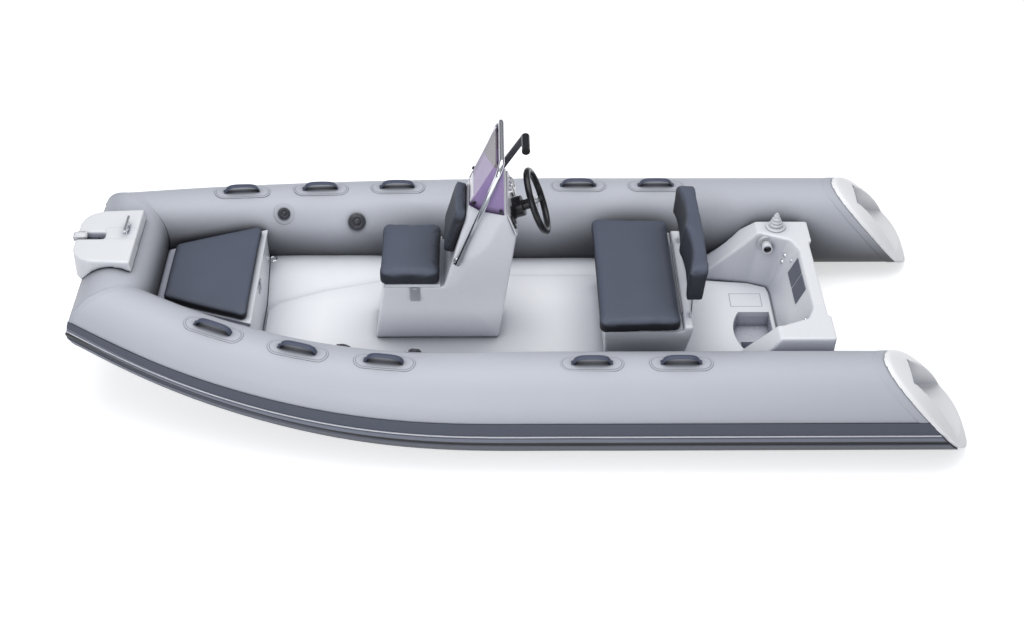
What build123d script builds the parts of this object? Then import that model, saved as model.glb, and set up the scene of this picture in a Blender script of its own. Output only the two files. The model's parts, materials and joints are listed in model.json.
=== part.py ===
from build123d import *
import os
from math import atan2, cos, degrees, hypot, radians, sin, sqrt, tan

# Rigid inflatable tender with centre console, afloat.
# Millimetres. +X to the bow, +Y to port, +Z up. Origin on the centre line at the
# waterline, near mid-length.

# ---------------------------------------------------------------- driving sizes
TUBE_RADIUS = 225.0            # side tube, parallel part
TUBE_SPACING = 1426.0          # between the two side tube axes, parallel part
TUBE_AXIS_HEIGHT = 230.0       # above the waterline, parallel part
TUBE_TAPER = 0.026             # loss of radius per mm towards the bow
TAPER_START_X = 127.0
TAPER_SOFTENING = 150.0
PLAN_ARC_START_X = 311.0       # forward of this the tubes bend in
PLAN_ARC_RADIUS = 3934.0
SHEER_ARC_START_X = 200.0      # forward of this the tubes rise
SHEER_ARC_RADIUS = 7112.0
BOW_TUBE_X = 1940.0            # axis of the cross tube
LOCKER_TO_BOW = 648.0          # bow locker's aft face to the cross tube's axis
LOCKER_AFT_X = BOW_TUBE_X - LOCKER_TO_BOW
STERN_LIMIT_X = -2150.0        # beyond the aft end of everything

# Each tube ends in a slanted cut, convex aft, that the stern cap is fitted to:
# points on the cut in side view.
CUT_TOP = (-1645.0, 455.0)
CUT_MIDDLE = (-1822.0, 293.0)
CUT_BOTTOM = (-1996.0, 84.0)
CAP_LIP = 3.0                  # cap stands out of the tube skin by this much

DECK_HEIGHT = 110.0            # cockpit sole
DECK_RISE = 12.0               # raised panel above the side strips
LINER_THICKNESS = 16.0
TRANSOM_TOP_HEIGHT = 395.0
TRANSOM_TOP_X = -1465.0
TRANSOM_RAKE = 12.0            # degrees

SEAT_GAP = 0.3                 # clearance under cushions and at seated pieces
RUNNING_GAP = 0.05             # radial play round pins
HINGE_PIN_RADIUS = 4.0
SKIN_GAP = 0.5                 # clearance between a fitting and a tube skin
BEYOND = 3000.0                # blanks that cut reach this far
PAST_TUBES = 400.0             # cross tube blanks run on past the side tubes

os.makedirs("parts", exist_ok=True)


# ---------------------------------------------------------------- small makers
def side_slab(points, y_from, y_to):
    """Prism whose outline is a list of (x, z) pairs."""
    outline = Polyline([(x, y_from, z) for x, z in points], close=True)
    return extrude(make_face(outline), y_to - y_from, dir=(0, 1, 0))


def plan_slab(points, z_from, z_to):
    """Prism whose outline is a list of (x, y) pairs."""
    outline = Polyline([(x, y, z_from) for x, y in points], close=True)
    return extrude(make_face(outline), z_to - z_from, dir=(0, 0, 1))


def cross_slab(points, x_from, x_to):
    """Prism whose outline is a list of (y, z) pairs."""
    outline = Polyline([(x_from, y, z) for y, z in points], close=True)
    return extrude(make_face(outline), x_to - x_from, dir=(1, 0, 0))


def both_sides(half):
    """Outline mirrored over the centre line: half is (along, across) pairs."""
    return half + [(a, -b) for a, b in reversed(half)]


def block(x_from, x_to, y_from, y_to, z_from, z_to):
    size = Box(x_to - x_from, y_to - y_from, z_to - z_from)
    centre = ((x_from + x_to) / 2, (y_from + y_to) / 2, (z_from + z_to) / 2)
    return Pos(*centre) * size


def rod(start, end, radius):
    """Round bar between two points."""
    start, end = Vector(*start), Vector(*end)
    axis = end - start
    return extrude(Plane(start, z_dir=axis) * Circle(radius), axis.length)


def other_side(shape):
    return shape.mirror(Plane.XZ)


def write(name, shape):
    solids = shape.solids()
    whole = solids[0] if len(solids) == 1 else Compound(children=list(solids))
    export_step(whole, f"parts/{name}.step")


# ---------------------------------------------------------------- tube geometry
def tube_radius(x):
    run = x - TAPER_START_X
    return TUBE_RADIUS - TUBE_TAPER * (run + sqrt(run ** 2 + TAPER_SOFTENING ** 2)) / 2


def arc_drop(x, start, radius):
    run = max(x - start, 0.0)
    return radius - sqrt(radius ** 2 - run ** 2)


def arc_slope(x, start, radius):
    run = max(x - start, 0.0)
    return run / sqrt(radius ** 2 - run ** 2)


def tube_y(x):
    return TUBE_SPACING / 2 - arc_drop(x, PLAN_ARC_START_X, PLAN_ARC_RADIUS)


def tube_z(x):
    return TUBE_AXIS_HEIGHT + arc_drop(x, SHEER_ARC_START_X, SHEER_ARC_RADIUS)


def inner_reach(x):
    """Half-width between the side tubes at the height of their axes."""
    return tube_y(x) - tube_radius(x)


def tube_centre(x):
    return Vector(x, tube_y(x), tube_z(x))


def tube_direction(x):
    slope_in = arc_slope(x, PLAN_ARC_START_X, PLAN_ARC_RADIUS)
    slope_up = arc_slope(x, SHEER_ARC_START_X, SHEER_ARC_RADIUS)
    return Vector(1, -slope_in, slope_up).normalized()


def tube_plane(x):
    """Across the port tube: local x outboard, local y up."""
    along = tube_direction(x)
    outboard = Vector(0, 0, 1).cross(along)
    return Plane(tube_centre(x), x_dir=outboard, z_dir=along)


BOW_POINT = tube_centre(BOW_TUBE_X)
BOW_RADIUS = tube_radius(BOW_TUBE_X)
BOW_DIRECTION = tube_direction(BOW_TUBE_X)
MITRE_NORMAL = (BOW_DIRECTION + Vector(0, -1, 0)).normalized()
BEND_START_X = -400.0
BEND_STATIONS = [BEND_START_X, 0, 311, 650, 1000, 1350, 1650, BOW_TUBE_X]
PAST_MITRE = 320.0


def ahead_of_mitre():
    """Everything ahead of the port mitre plane, to cut with."""
    plane = Plane(BOW_POINT, z_dir=MITRE_NORMAL)
    return extrude(plane * Rectangle(BEYOND, BEYOND), BEYOND / 2)


def behind_mitre():
    plane = Plane(BOW_POINT, z_dir=MITRE_NORMAL * -1)
    return extrude(plane * Rectangle(BEYOND, BEYOND), BEYOND / 2)


def swept_on_tube(profile, tail_x):
    """Port solid along the tube; profile(radius) gives a sketch in the tube plane."""
    sections = [tube_plane(x) * profile(tube_radius(x)) for x in BEND_STATIONS]
    bent = loft(sections)
    start = Plane((tail_x, tube_y(tail_x), tube_z(tail_x)), x_dir=(0, 1, 0), z_dir=(1, 0, 0))
    straight = loft([start * profile(tube_radius(BEND_START_X)), sections[0]], ruled=True)
    end = extrude(tube_plane(BOW_TUBE_X) * profile(BOW_RADIUS), PAST_MITRE)
    return (straight + bent + end) - ahead_of_mitre()


def tube_skin(clearance):
    return swept_on_tube(lambda radius: Circle(radius + clearance), STERN_LIMIT_X)


def cross_tube(clearance):
    reach = tube_y(BOW_TUBE_X) + PAST_TUBES
    axis = Plane((BOW_TUBE_X, -reach, BOW_POINT.Z), z_dir=(0, 1, 0))
    bar = extrude(axis * Circle(BOW_RADIUS + clearance), 2 * reach)
    behind = behind_mitre()
    return bar - behind - other_side(behind)


def circle_through(first, second, third):
    """Centre and radius of the circle through three points of a plane."""
    (ax, ay), (bx, by), (cx, cy) = first, second, third
    det = 2 * (ax * (by - cy) + bx * (cy - ay) + cx * (ay - by))
    a, b, c = ax * ax + ay * ay, bx * bx + by * by, cx * cx + cy * cy
    x = (a * (by - cy) + b * (cy - ay) + c * (ay - by)) / det
    y = (a * (cx - bx) + b * (ax - cx) + c * (bx - ax)) / det
    return (x, y), hypot(ax - x, ay - y)


def on_circle(centre, radius, angle):
    """Side view point at an angle in degrees, as (x, 0, z)."""
    return (centre[0] + radius * cos(radians(angle)), 0, centre[1] + radius * sin(radians(angle)))


def angle_of(centre, point):
    return degrees(atan2(point[1] - centre[1], point[0] - centre[0]))


CUT_MARGIN = 60.0
CUT_CENTRE, CUT_RADIUS = circle_through(CUT_TOP, CUT_MIDDLE, CUT_BOTTOM)


def aft_of_cut():
    """Everything aft of the slanted cuts where the stern caps meet the tubes."""
    spread = degrees(2 * CUT_MARGIN / CUT_RADIUS)
    from_angle = angle_of(CUT_CENTRE, CUT_TOP) - spread
    to_angle = angle_of(CUT_CENTRE, CUT_BOTTOM) + spread
    top = on_circle(CUT_CENTRE, CUT_RADIUS, from_angle)
    middle = on_circle(CUT_CENTRE, CUT_RADIUS, (from_angle + to_angle) / 2)
    low = on_circle(CUT_CENTRE, CUT_RADIUS, to_angle)
    far = STERN_LIMIT_X - CUT_MARGIN
    outline = [ThreePointArc(top, middle, low), Line(low, (far, 0, low[2])),
               Line((far, 0, low[2]), (far, 0, top[2])), Line((far, 0, top[2]), top)]
    face = Pos(0, -BEYOND / 2, 0) * make_face(Wire(outline))
    return extrude(face, BEYOND, dir=(0, 1, 0))


TUBE_CUTTER = tube_skin(SKIN_GAP)
BOW_CUTTER = cross_tube(SKIN_GAP)


def clear_of_tubes(shape):
    return shape - TUBE_CUTTER - other_side(TUBE_CUTTER) - BOW_CUTTER


# ---------------------------------------------------------------- stern caps
# A moulded cap with a crowned aft face: points on its middle line in side view, and the
# radius of its crown across. A boarding step is let into it, wider towards the tip.
CROWN_TOP = (-1660.0, 462.0)
CROWN_MIDDLE = (-1925.0, 292.0)
CROWN_TIP = (-2092.0, 20.0)
CROWN_ACROSS = 500.0
CROWN_BEYOND = 14.0            # degrees the crown is carried past its end points
STEP_FRONT = (-1778.0, 236.0)  # foot of the step's front wall
STEP_FRONT_HALF = 78.0
STEP_SPREAD = 0.50             # gain in half-width per mm aft
STEP_FALL = 0.40               # fall of its floor per mm aft
STEP_WALL = 9.0
STEP_CLEARANCE = 0.3
CROWN_CENTRE, CROWN_RADIUS = circle_through(CROWN_TOP, CROWN_MIDDLE, CROWN_TIP)


def crown():
    """Barrel whose upper aft side is the cap's face."""
    from_angle = angle_of(CROWN_CENTRE, CROWN_TOP) - CROWN_BEYOND
    to_angle = angle_of(CROWN_CENTRE, CROWN_TIP) + CROWN_BEYOND
    top = Vector(*on_circle(CROWN_CENTRE, CROWN_RADIUS, from_angle))
    middle = Vector(*on_circle(CROWN_CENTRE, CROWN_RADIUS, (from_angle + to_angle) / 2))
    low = Vector(*on_circle(CROWN_CENTRE, CROWN_RADIUS, to_angle))
    along = (low - top).normalized()
    inward = Vector(-along.Z, 0, along.X)
    depth = CROWN_ACROSS - ((middle - top) - along * (middle - top).dot(along)).length
    axis_top, axis_low = top + inward * depth, low + inward * depth
    outline = Wire([ThreePointArc(top, middle, low), Line(low, axis_low),
                    Line(axis_low, axis_top), Line(axis_top, top)])
    barrel = revolve(make_face(outline), Axis(axis_top, along))
    return Pos(0, TUBE_SPACING / 2, 0) * barrel


def step_cut(grown):
    """Space of the boarding step in the port cap, grown all round by a wall."""
    front = STEP_FRONT[0] + grown
    run = front - STERN_LIMIT_X
    narrow = STEP_FRONT_HALF + grown
    wide = narrow + run * STEP_SPREAD
    centre = TUBE_SPACING / 2
    plan = plan_slab([(front, centre + narrow), (STERN_LIMIT_X, centre + wide),
                      (STERN_LIMIT_X, centre - wide), (front, centre - narrow)], 0, 600)
    low = STEP_FRONT[1] - grown
    side = side_slab([(front, low + STEP_FALL * (front - STEP_FRONT[0])), (front, 600),
                      (STERN_LIMIT_X, 600),
                      (STERN_LIMIT_X, low - STEP_FALL * (STEP_FRONT[0] - STERN_LIMIT_X))], 0, 1200)
    return plan & side


def stern_cap():
    start = Plane((STERN_LIMIT_X, TUBE_SPACING / 2, TUBE_AXIS_HEIGHT), z_dir=(1, 0, 0))
    bar = extrude(start * Circle(TUBE_RADIUS + CAP_LIP), 700)
    inside = extrude(start * Circle(TUBE_RADIUS - STEP_WALL), 700)
    shell = (bar & aft_of_cut()) + (inside & step_cut(STEP_WALL))
    return (shell & crown()) - step_cut(0)


# ---------------------------------------------------------------- the tubes
port_cap = stern_cap()
write("stern_caps", Compound(children=[port_cap, other_side(port_cap)]))
port_tube = tube_skin(0) - aft_of_cut() - step_cut(STEP_WALL + STEP_CLEARANCE)
write("tube_port", port_tube)
write("tube_starboard", other_side(port_tube))
write("tube_bow", cross_tube(0))


# ---------------------------------------------------------------- rub strake
# Angle up from horizontal in degrees, and how far the face stands off the skin.
STRAKE_OUTLINE = [
    (13.0, 4.0), (-3.8, 5.0), (-6.5, 5.0), (-7.5, 13.0), (-12.5, 14.0), (-14.0, 6.0),
    (-20.0, 6.0), (-21.5, 13.0), (-34.0, 14.0), (-50.0, 12.0), (-52.0, 3.0),
]
PIPING_ANGLES = (-4.2, -5.6)
PIPING_PROUD = (5.3, 9.0)


def polar(radius, angle):
    return (radius * cos(radians(angle)), radius * sin(radians(angle)))


def strake_profile(radius):
    base = radius + SKIN_GAP
    corners = [polar(radius + proud, angle) for angle, proud in STRAKE_OUTLINE]
    first, last = STRAKE_OUTLINE[0][0], STRAKE_OUTLINE[-1][0]
    inner = ThreePointArc(polar(base, last), polar(base, (first + last) / 2), polar(base, first))
    edges = [Line(a, b) for a, b in zip(corners, corners[1:])]
    edges += [Line(corners[-1], polar(base, last)), inner, Line(polar(base, first), corners[0])]
    return make_face(Wire(edges))


def piping_profile(radius):
    low, high = PIPING_PROUD
    upper, lower = PIPING_ANGLES
    corners = [polar(radius + low, upper), polar(radius + high, upper),
               polar(radius + high, lower), polar(radius + low, lower)]
    return make_face(Polyline(corners, close=True))


def bow_band(profile):
    """The same section carried straight across the cross tube."""
    reach = tube_y(BOW_TUBE_X) + PAST_TUBES
    plane = Plane((BOW_TUBE_X, reach, BOW_POINT.Z), x_dir=(1, 0, 0), z_dir=(0, -1, 0))
    bar = extrude(plane * profile(BOW_RADIUS), 2 * reach)
    behind = behind_mitre()
    return bar - behind - other_side(behind)


for name, profile in (("rub_strake", strake_profile), ("strake_piping", piping_profile)):
    band = swept_on_tube(profile, STERN_LIMIT_X) - aft_of_cut()
    write(name + "_port", band)
    write(name + "_starboard", other_side(band))
    write(name + "_bow", bow_band(profile))


# ---------------------------------------------------------------- hull and deck
HULL_STATIONS = [
    # x, keel z, half-width of the flat sole, underside of the sole
    (-1400.0, -165.0, 340.0, 82.0),
    (-700.0, -162.0, 390.0, 82.0),
    (100.0, -155.0, 395.0, 82.0),
    (700.0, -130.0, 355.0, 82.0),
    (1000.0, -95.0, 280.0, 82.0),
    (LOCKER_AFT_X - 2.0, -25.0, 160.0, 82.0),
    (BOW_TUBE_X - 440.0, 75.0, 130.0, 165.0),
    (BOW_TUBE_X - 280.0, 180.0, 110.0, 240.0),
    (BOW_TUBE_X - 180.0, 262.0, 90.0, 300.0),
    (BOW_TUBE_X - 40.0, 330.0, 60.0, 380.0),
]
LINER_STATIONS = 6             # the liner ends at the bow locker
CONTACT_ANGLE = 30.0           # where the side strip meets the tube, below its axis
FLANGE_ANGLE = 72.0            # where the hull flange meets the tube
CHINE_INSET = 95.0             # chine inboard of the flange
CHINE_DROP = 26.0
STRIP_CLEARANCE = 6.0         # hull under the side strips
KEEL_FLOOR = -300.0            # below everything
INTO_TUBE = 60.0               # how far the blanks run into the tube before the cut


def inner_point(x, angle, extra=0.0):
    """A point on the inboard lower quarter of the port tube, as (y, z)."""
    radius = tube_radius(x) - extra
    return (tube_y(x) - radius * cos(radians(angle)), tube_z(x) - radius * sin(radians(angle)))


def full_section(x, half):
    points = [(x, y, z) for y, z in half] + [(x, -y, z) for y, z in reversed(half) if y > 0]
    return make_face(Polyline(points, close=True))


def liner_section(station):
    x, _, half_width, underside = station
    sole = underside + LINER_THICKNESS
    y, z = inner_point(x, CONTACT_ANGLE, INTO_TUBE)
    top = [(half_width, sole), (y, max(z, sole))]
    bottom = [(y, max(z, sole) - LINER_THICKNESS), (half_width, underside)]
    return full_section(x, top + bottom)


def hull_section(station):
    x, keel, half_width, underside = station
    y, z = inner_point(x, CONTACT_ANGLE, INTO_TUBE)
    shoulder = max(z - LINER_THICKNESS, underside) - STRIP_CLEARANCE
    flange = inner_point(x, FLANGE_ANGLE, INTO_TUBE / 2)
    chine = (flange[0] - CHINE_INSET, inner_point(x, FLANGE_ANGLE)[1] - CHINE_DROP)
    half = [(half_width, underside - SEAT_GAP), (y, shoulder), flange, chine]
    points = [(x, py, pz) for py, pz in half] + [(x, 0, keel)]
    points += [(x, -py, pz) for py, pz in reversed(half)]
    return make_face(Polyline(points, close=True))


def blank_section(station):
    """Section of everything that the hull and liner fill, with a clearance above."""
    x, _, half_width, underside = station
    y, z = inner_point(x, CONTACT_ANGLE, INTO_TUBE)
    cover = LINER_THICKNESS if x <= HULL_STATIONS[LINER_STATIONS - 1][0] else 0.0
    height = underside + cover
    outer = max(z, height) + SEAT_GAP
    half = [(half_width, height + SEAT_GAP), (y, outer), (y, KEEL_FLOOR)]
    points = [(x, py, pz) for py, pz in half] + [(x, -py, pz) for py, pz in reversed(half)]
    return make_face(Polyline(points, close=True))


def aft_of_transom():
    """Everything aft of the raked transom plane."""
    rake = tan(radians(TRANSOM_RAKE))
    top_z, low_z = TRANSOM_TOP_HEIGHT + 200, -400.0
    top = (TRANSOM_TOP_X - rake * 200, top_z)
    low = (TRANSOM_TOP_X + rake * (TRANSOM_TOP_HEIGHT - low_z), low_z)
    return side_slab([top, low, (STERN_LIMIT_X, low_z), (STERN_LIMIT_X, top_z)], -1200, 1200)


WELL_AFT_X = -1262.0
WELL_FRONT_X = -1064.0
WELL_BOW = 41.0                # how far the front wall bows forward
WELL_STARBOARD_Y = -80.0
WELL_PORT_Y = 220.0
WELL_DEPTH = 90.0
SUMP_AFT_X = -1250.0           # lower part where the water gathers
SUMP_FRONT_X = -1112.0
SUMP_STARBOARD_Y = 50.0
SUMP_DEPTH = 130.0


def well_cut():
    """Bilge well with a bowed front wall and a sump, open to the sole."""
    corner_x = WELL_FRONT_X - WELL_BOW
    front_mid = (WELL_FRONT_X, (WELL_PORT_Y + WELL_STARBOARD_Y) / 2, 0)
    left, right = (corner_x, WELL_PORT_Y, 0), (corner_x, WELL_STARBOARD_Y, 0)
    aft_left, aft_right = (WELL_AFT_X, WELL_PORT_Y, 0), (WELL_AFT_X, WELL_STARBOARD_Y, 0)
    outline = [ThreePointArc(left, front_mid, right), Line(right, aft_right),
               Line(aft_right, aft_left), Line(aft_left, left)]
    floor = DECK_HEIGHT - WELL_DEPTH
    well = Pos(0, 0, floor) * extrude(make_face(Wire(outline)), 400, dir=(0, 0, 1))
    return well + block(SUMP_AFT_X, SUMP_FRONT_X, SUMP_STARBOARD_Y, WELL_PORT_Y,
                        DECK_HEIGHT - SUMP_DEPTH, DECK_HEIGHT)


hull_sections = [hull_section(station) for station in HULL_STATIONS]
first = HULL_STATIONS[0]
stern_section = hull_section((-1480.0,) + first[1:])
hull = loft(hull_sections, ruled=True) + loft([stern_section, hull_sections[0]], ruled=True)
hull = clear_of_tubes(hull - aft_of_transom()) - well_cut()
write("hull", hull)

liner_sections = [liner_section(station) for station in HULL_STATIONS[:LINER_STATIONS]]
stern_section = liner_section((-1480.0,) + first[1:])
liner = loft(liner_sections, ruled=True) + loft([stern_section, liner_sections[0]], ruled=True)
liner = clear_of_tubes(liner - aft_of_transom()) - well_cut()
write("deck_liner", liner)


STERN_BLANK_STATION = (-1520.0,) + first[1:]
BELOW_SOLE = loft([blank_section(station) for station in [STERN_BLANK_STATION] + HULL_STATIONS],
                  ruled=True)

# Raised sole panel: (x, half-width), bow end last.
PANEL_OUTLINE = [
    (-1278.0, 229.0), (-1270.0, 283.0), (-1180.0, 319.0), (-500.0, 383.0), (100.0, 385.0),
    (700.0, 345.0), (1000.0, 262.0), (LOCKER_AFT_X - 62.0, 160.0), (LOCKER_AFT_X - 14.0, 100.0),
]
sole_panel = plan_slab(both_sides(PANEL_OUTLINE), DECK_HEIGHT - DECK_RISE, DECK_HEIGHT)
sole_panel = sole_panel - well_cut()
write("sole_panel", sole_panel)


# ---------------------------------------------------------------- transom moulding
# Outline at the rim and at the sole, as (x, half-width). The rim falls to the deck
# ahead of RIM_FALL_X.
RIM_FALL_X = -1215.0
RIM_END_X = -925.0
RIM_INNER = [(-1406.0, 232.0), (-1372.0, 312.0), (-1240.0, 368.0), (-860.0, 405.0)]
SOLE_INNER = [(-1284.0, 232.0), (-1276.0, 288.0), (-1180.0, 325.0), (-860.0, 372.0)]
QUARTER_TOP_HALF = 474.0
QUARTER_FOOT_HALF = 600.0
STEP_HALF = 297.0              # the quarters stand aft of the centre beyond this
STEP_BACK = 16.0
MOULDING_FOOT = DECK_HEIGHT - DECK_RISE


def level_face(points, z):
    return make_face(Polyline([(x, y, z) for x, y in both_sides(points)], close=True))


def transom_moulding():
    rise = TRANSOM_TOP_HEIGHT - MOULDING_FOOT
    forward = rise * tan(radians(TRANSOM_RAKE))
    top_aft = TRANSOM_TOP_X - STEP_BACK
    foot = level_face([(top_aft + forward, QUARTER_FOOT_HALF),
                       (RIM_END_X, QUARTER_FOOT_HALF)], MOULDING_FOOT)
    rim = level_face([(top_aft, QUARTER_TOP_HALF), (RIM_END_X, QUARTER_TOP_HALF)],
                     TRANSOM_TOP_HEIGHT)
    outer = loft([foot, rim], ruled=True)
    cavity_low = level_face(SOLE_INNER, DECK_HEIGHT - DECK_RISE)
    cavity_high = level_face(RIM_INNER, TRANSOM_TOP_HEIGHT)
    outer = outer - loft([cavity_low, cavity_high], ruled=True)
    fall = side_slab([(RIM_FALL_X, TRANSOM_TOP_HEIGHT), (RIM_END_X, MOULDING_FOOT + 15),
                      (RIM_END_X + 100, MOULDING_FOOT + 15),
                      (RIM_END_X + 100, TRANSOM_TOP_HEIGHT + 50),
                      (RIM_FALL_X, TRANSOM_TOP_HEIGHT + 50)], -700, 700)
    centre_cut = aft_of_transom() & block(STERN_LIMIT_X, 0, -STEP_HALF, STEP_HALF, -400, 600)
    return clear_of_tubes(outer - fall - centre_cut - BELOW_SOLE)


moulding = transom_moulding()
write("transom_moulding", moulding)

# Protective pads on both faces of the transom, where the outboard clamps.
PAD_THICKNESS = 4.0
PAD_HALF = 120.0
OUTER_PAD_LOW = 230.0          # below the transom's top
OUTER_PAD_HIGH = 30.0
INNER_PAD_LOW = 116.0
INNER_PAD_HIGH = 24.0
INNER_PAD_SPANS = [(-187.0, -68.0), (-55.0, 64.0)]
rake = tan(radians(TRANSOM_RAKE))


def outer_pad():
    aft_top = TRANSOM_TOP_X
    low, high = TRANSOM_TOP_HEIGHT - OUTER_PAD_LOW, TRANSOM_TOP_HEIGHT - OUTER_PAD_HIGH
    x_high = aft_top + rake * (TRANSOM_TOP_HEIGHT - high)
    x_low = aft_top + rake * (TRANSOM_TOP_HEIGHT - low)
    return side_slab([(x_high, high), (x_low, low), (x_low - PAD_THICKNESS, low),
                      (x_high - PAD_THICKNESS, high)], -PAD_HALF, PAD_HALF)


def inner_pad(y_from, y_to):
    slope = (SOLE_INNER[0][0] - RIM_INNER[0][0]) / (TRANSOM_TOP_HEIGHT - DECK_HEIGHT + DECK_RISE)
    low, high = TRANSOM_TOP_HEIGHT - INNER_PAD_LOW, TRANSOM_TOP_HEIGHT - INNER_PAD_HIGH
    x_high = RIM_INNER[0][0] + slope * (TRANSOM_TOP_HEIGHT - high)
    x_low = RIM_INNER[0][0] + slope * (TRANSOM_TOP_HEIGHT - low)
    return side_slab([(x_high, high), (x_low, low), (x_low + PAD_THICKNESS, low),
                      (x_high + PAD_THICKNESS, high)], y_from, y_to)


transom_pads = [outer_pad()] + [inner_pad(*span) for span in INNER_PAD_SPANS]
write("transom_pads", Compound(children=transom_pads))


# ---------------------------------------------------------------- bow locker
LOCKER_FRONT_GAP = 165.0       # front face behind the cross tube's axis
LOCKER_FRONT_X = BOW_TUBE_X - LOCKER_FRONT_GAP
LOCKER_TOP = 400.0
LOCKER_LID = 16.0
LOCKER_UNDER_TUBE = 10.9       # the box runs in under the side tubes
LOCKER_AFT_HALF = inner_reach(LOCKER_AFT_X) + LOCKER_UNDER_TUBE
LOCKER_FRONT_HALF = inner_reach(LOCKER_FRONT_X) + LOCKER_UNDER_TUBE
LOCKER_HINGE_X = LOCKER_FRONT_X - 49.0
LOCKER_HOLLOW_FRONT_X = LOCKER_FRONT_X - 125.0
LOCKER_HOLLOW_MARGIN = 105.0   # side walls, with the tubes let into them
LOCKER_HOLLOW_DEPTH = 165.0
LOCKER_WALL = 22.0
LID_OVERHANG = 6.0
LID_BORDER = 8.0               # lid showing round the cushion
CUSHION_AFT_X = LOCKER_AFT_X + 8.0
CUSHION_FRONT_X = LOCKER_HINGE_X - 4.0
CUSHION_AFT_GAP = 24.3         # from the cushion's corners to the side tubes
CUSHION_FRONT_GAP = 54.8
CUSHION_AFT_HALF = inner_reach(CUSHION_AFT_X) - CUSHION_AFT_GAP
CUSHION_FRONT_HALF = inner_reach(CUSHION_FRONT_X) - CUSHION_FRONT_GAP
BOW_CUSHION_THICKNESS = 42.0


def locker_half(x):
    share = (x - LOCKER_AFT_X) / (LOCKER_FRONT_X - LOCKER_AFT_X)
    return LOCKER_AFT_HALF + (LOCKER_FRONT_HALF - LOCKER_AFT_HALF) * share


def bow_locker():
    outline = both_sides([(LOCKER_AFT_X, LOCKER_AFT_HALF), (LOCKER_FRONT_X, LOCKER_FRONT_HALF)])
    box = plan_slab(outline, DECK_HEIGHT - DECK_RISE, LOCKER_TOP)
    ends = (LOCKER_AFT_X + LOCKER_WALL, LOCKER_HOLLOW_FRONT_X)
    hollow = plan_slab(both_sides([(x, locker_half(x) - LOCKER_HOLLOW_MARGIN) for x in ends]),
                       LOCKER_TOP - LOCKER_HOLLOW_DEPTH, LOCKER_TOP + LOCKER_LID)
    return clear_of_tubes(box - hollow - BELOW_SOLE)


write("bow_locker", bow_locker())
lid = plan_slab(both_sides([(LOCKER_AFT_X - LID_OVERHANG, CUSHION_AFT_HALF + LID_BORDER),
                            (LOCKER_HINGE_X, CUSHION_FRONT_HALF + LID_BORDER)]),
                LOCKER_TOP + SEAT_GAP, LOCKER_TOP + LOCKER_LID)
bow_pin_z = LOCKER_TOP + SEAT_GAP + HINGE_PIN_RADIUS
hinge_pins = [rod((LOCKER_HINGE_X, -CUSHION_FRONT_HALF, bow_pin_z),
                  (LOCKER_HINGE_X, CUSHION_FRONT_HALF, bow_pin_z), HINGE_PIN_RADIUS)]
write("bow_locker_lid", clear_of_tubes(lid) - rod((LOCKER_HINGE_X, -500, bow_pin_z),
                                                  (LOCKER_HINGE_X, 500, bow_pin_z),
                                                  HINGE_PIN_RADIUS + RUNNING_GAP))
pad = plan_slab(both_sides([(CUSHION_AFT_X, CUSHION_AFT_HALF),
                            (CUSHION_FRONT_X, CUSHION_FRONT_HALF)]),
                LOCKER_TOP + LOCKER_LID + SEAT_GAP,
                LOCKER_TOP + LOCKER_LID + BOW_CUSHION_THICKNESS)
pad = fillet(pad.edges().filter_by(Axis.Z), 25)
pad = fillet(pad.faces().sort_by(Axis.Z)[-1].edges(), 12)
write("bow_cushion", pad)


# ---------------------------------------------------------------- bow step
# Moulded step over the cross tube: a flat tread with skirts down to the tube.
STEP_LIFT = 36.083             # tread above the cross tube's crown
STEP_TOP_Z = BOW_POINT.Z + BOW_RADIUS + STEP_LIFT
STEP_AFT_X = BOW_TUBE_X - 88.0
STEP_SHOULDER_X = BOW_TUBE_X + 128.0
STEP_FRONT_X = BOW_TUBE_X + 198.0
STEP_HALF_AFT = 216.0
STEP_HALF_SHOULDER = 202.0
STEP_HALF_FRONT = 130.0
STEP_FLARE = 16.0              # the skirt's foot outside the tread, at the side
STEP_SKIRT = 68.0
SKIRT_RUN = 60.0               # the blank runs on below the skirt
SLOT_LENGTH = 135.0
SLOT_FROM_X = STEP_FRONT_X - SLOT_LENGTH
SLOT_HALF = 26.0
SLOT_DEPTH = 80.0
ROLLER_X = STEP_FRONT_X - 12.0
ROLLER_Z = STEP_TOP_Z - 48.0
ROLLER_RADIUS = 24.0
ROLLER_PIN_RADIUS = 5.0


def bow_step():
    low = STEP_TOP_Z - STEP_SKIRT
    base = both_sides([(STEP_AFT_X - 14, STEP_HALF_AFT + STEP_FLARE),
                       (STEP_SHOULDER_X + 2, STEP_HALF_SHOULDER + STEP_FLARE + 10),
                       (STEP_FRONT_X - 8, STEP_HALF_FRONT + STEP_FLARE + 4)])
    top = both_sides([(STEP_AFT_X, STEP_HALF_AFT), (STEP_SHOULDER_X, STEP_HALF_SHOULDER),
                      (STEP_FRONT_X, STEP_HALF_FRONT)])
    lower = make_face(Polyline([(x, y, low - SKIRT_RUN) for x, y in base], close=True))
    upper = make_face(Polyline([(x, y, STEP_TOP_Z) for x, y in top], close=True))
    shell = loft([lower, upper], ruled=True)
    shell = shell - block(SLOT_FROM_X, STEP_FRONT_X + SLOT_LENGTH, -SLOT_HALF, SLOT_HALF,
                          STEP_TOP_Z - SLOT_DEPTH, STEP_TOP_Z + SLOT_DEPTH)
    skirt_arch = rod((BOW_TUBE_X, -BEYOND, BOW_POINT.Z), (BOW_TUBE_X, BEYOND, BOW_POINT.Z),
                     BOW_RADIUS + SKIN_GAP)
    return clear_of_tubes(shell - skirt_arch)


write("bow_step", bow_step())


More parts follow.
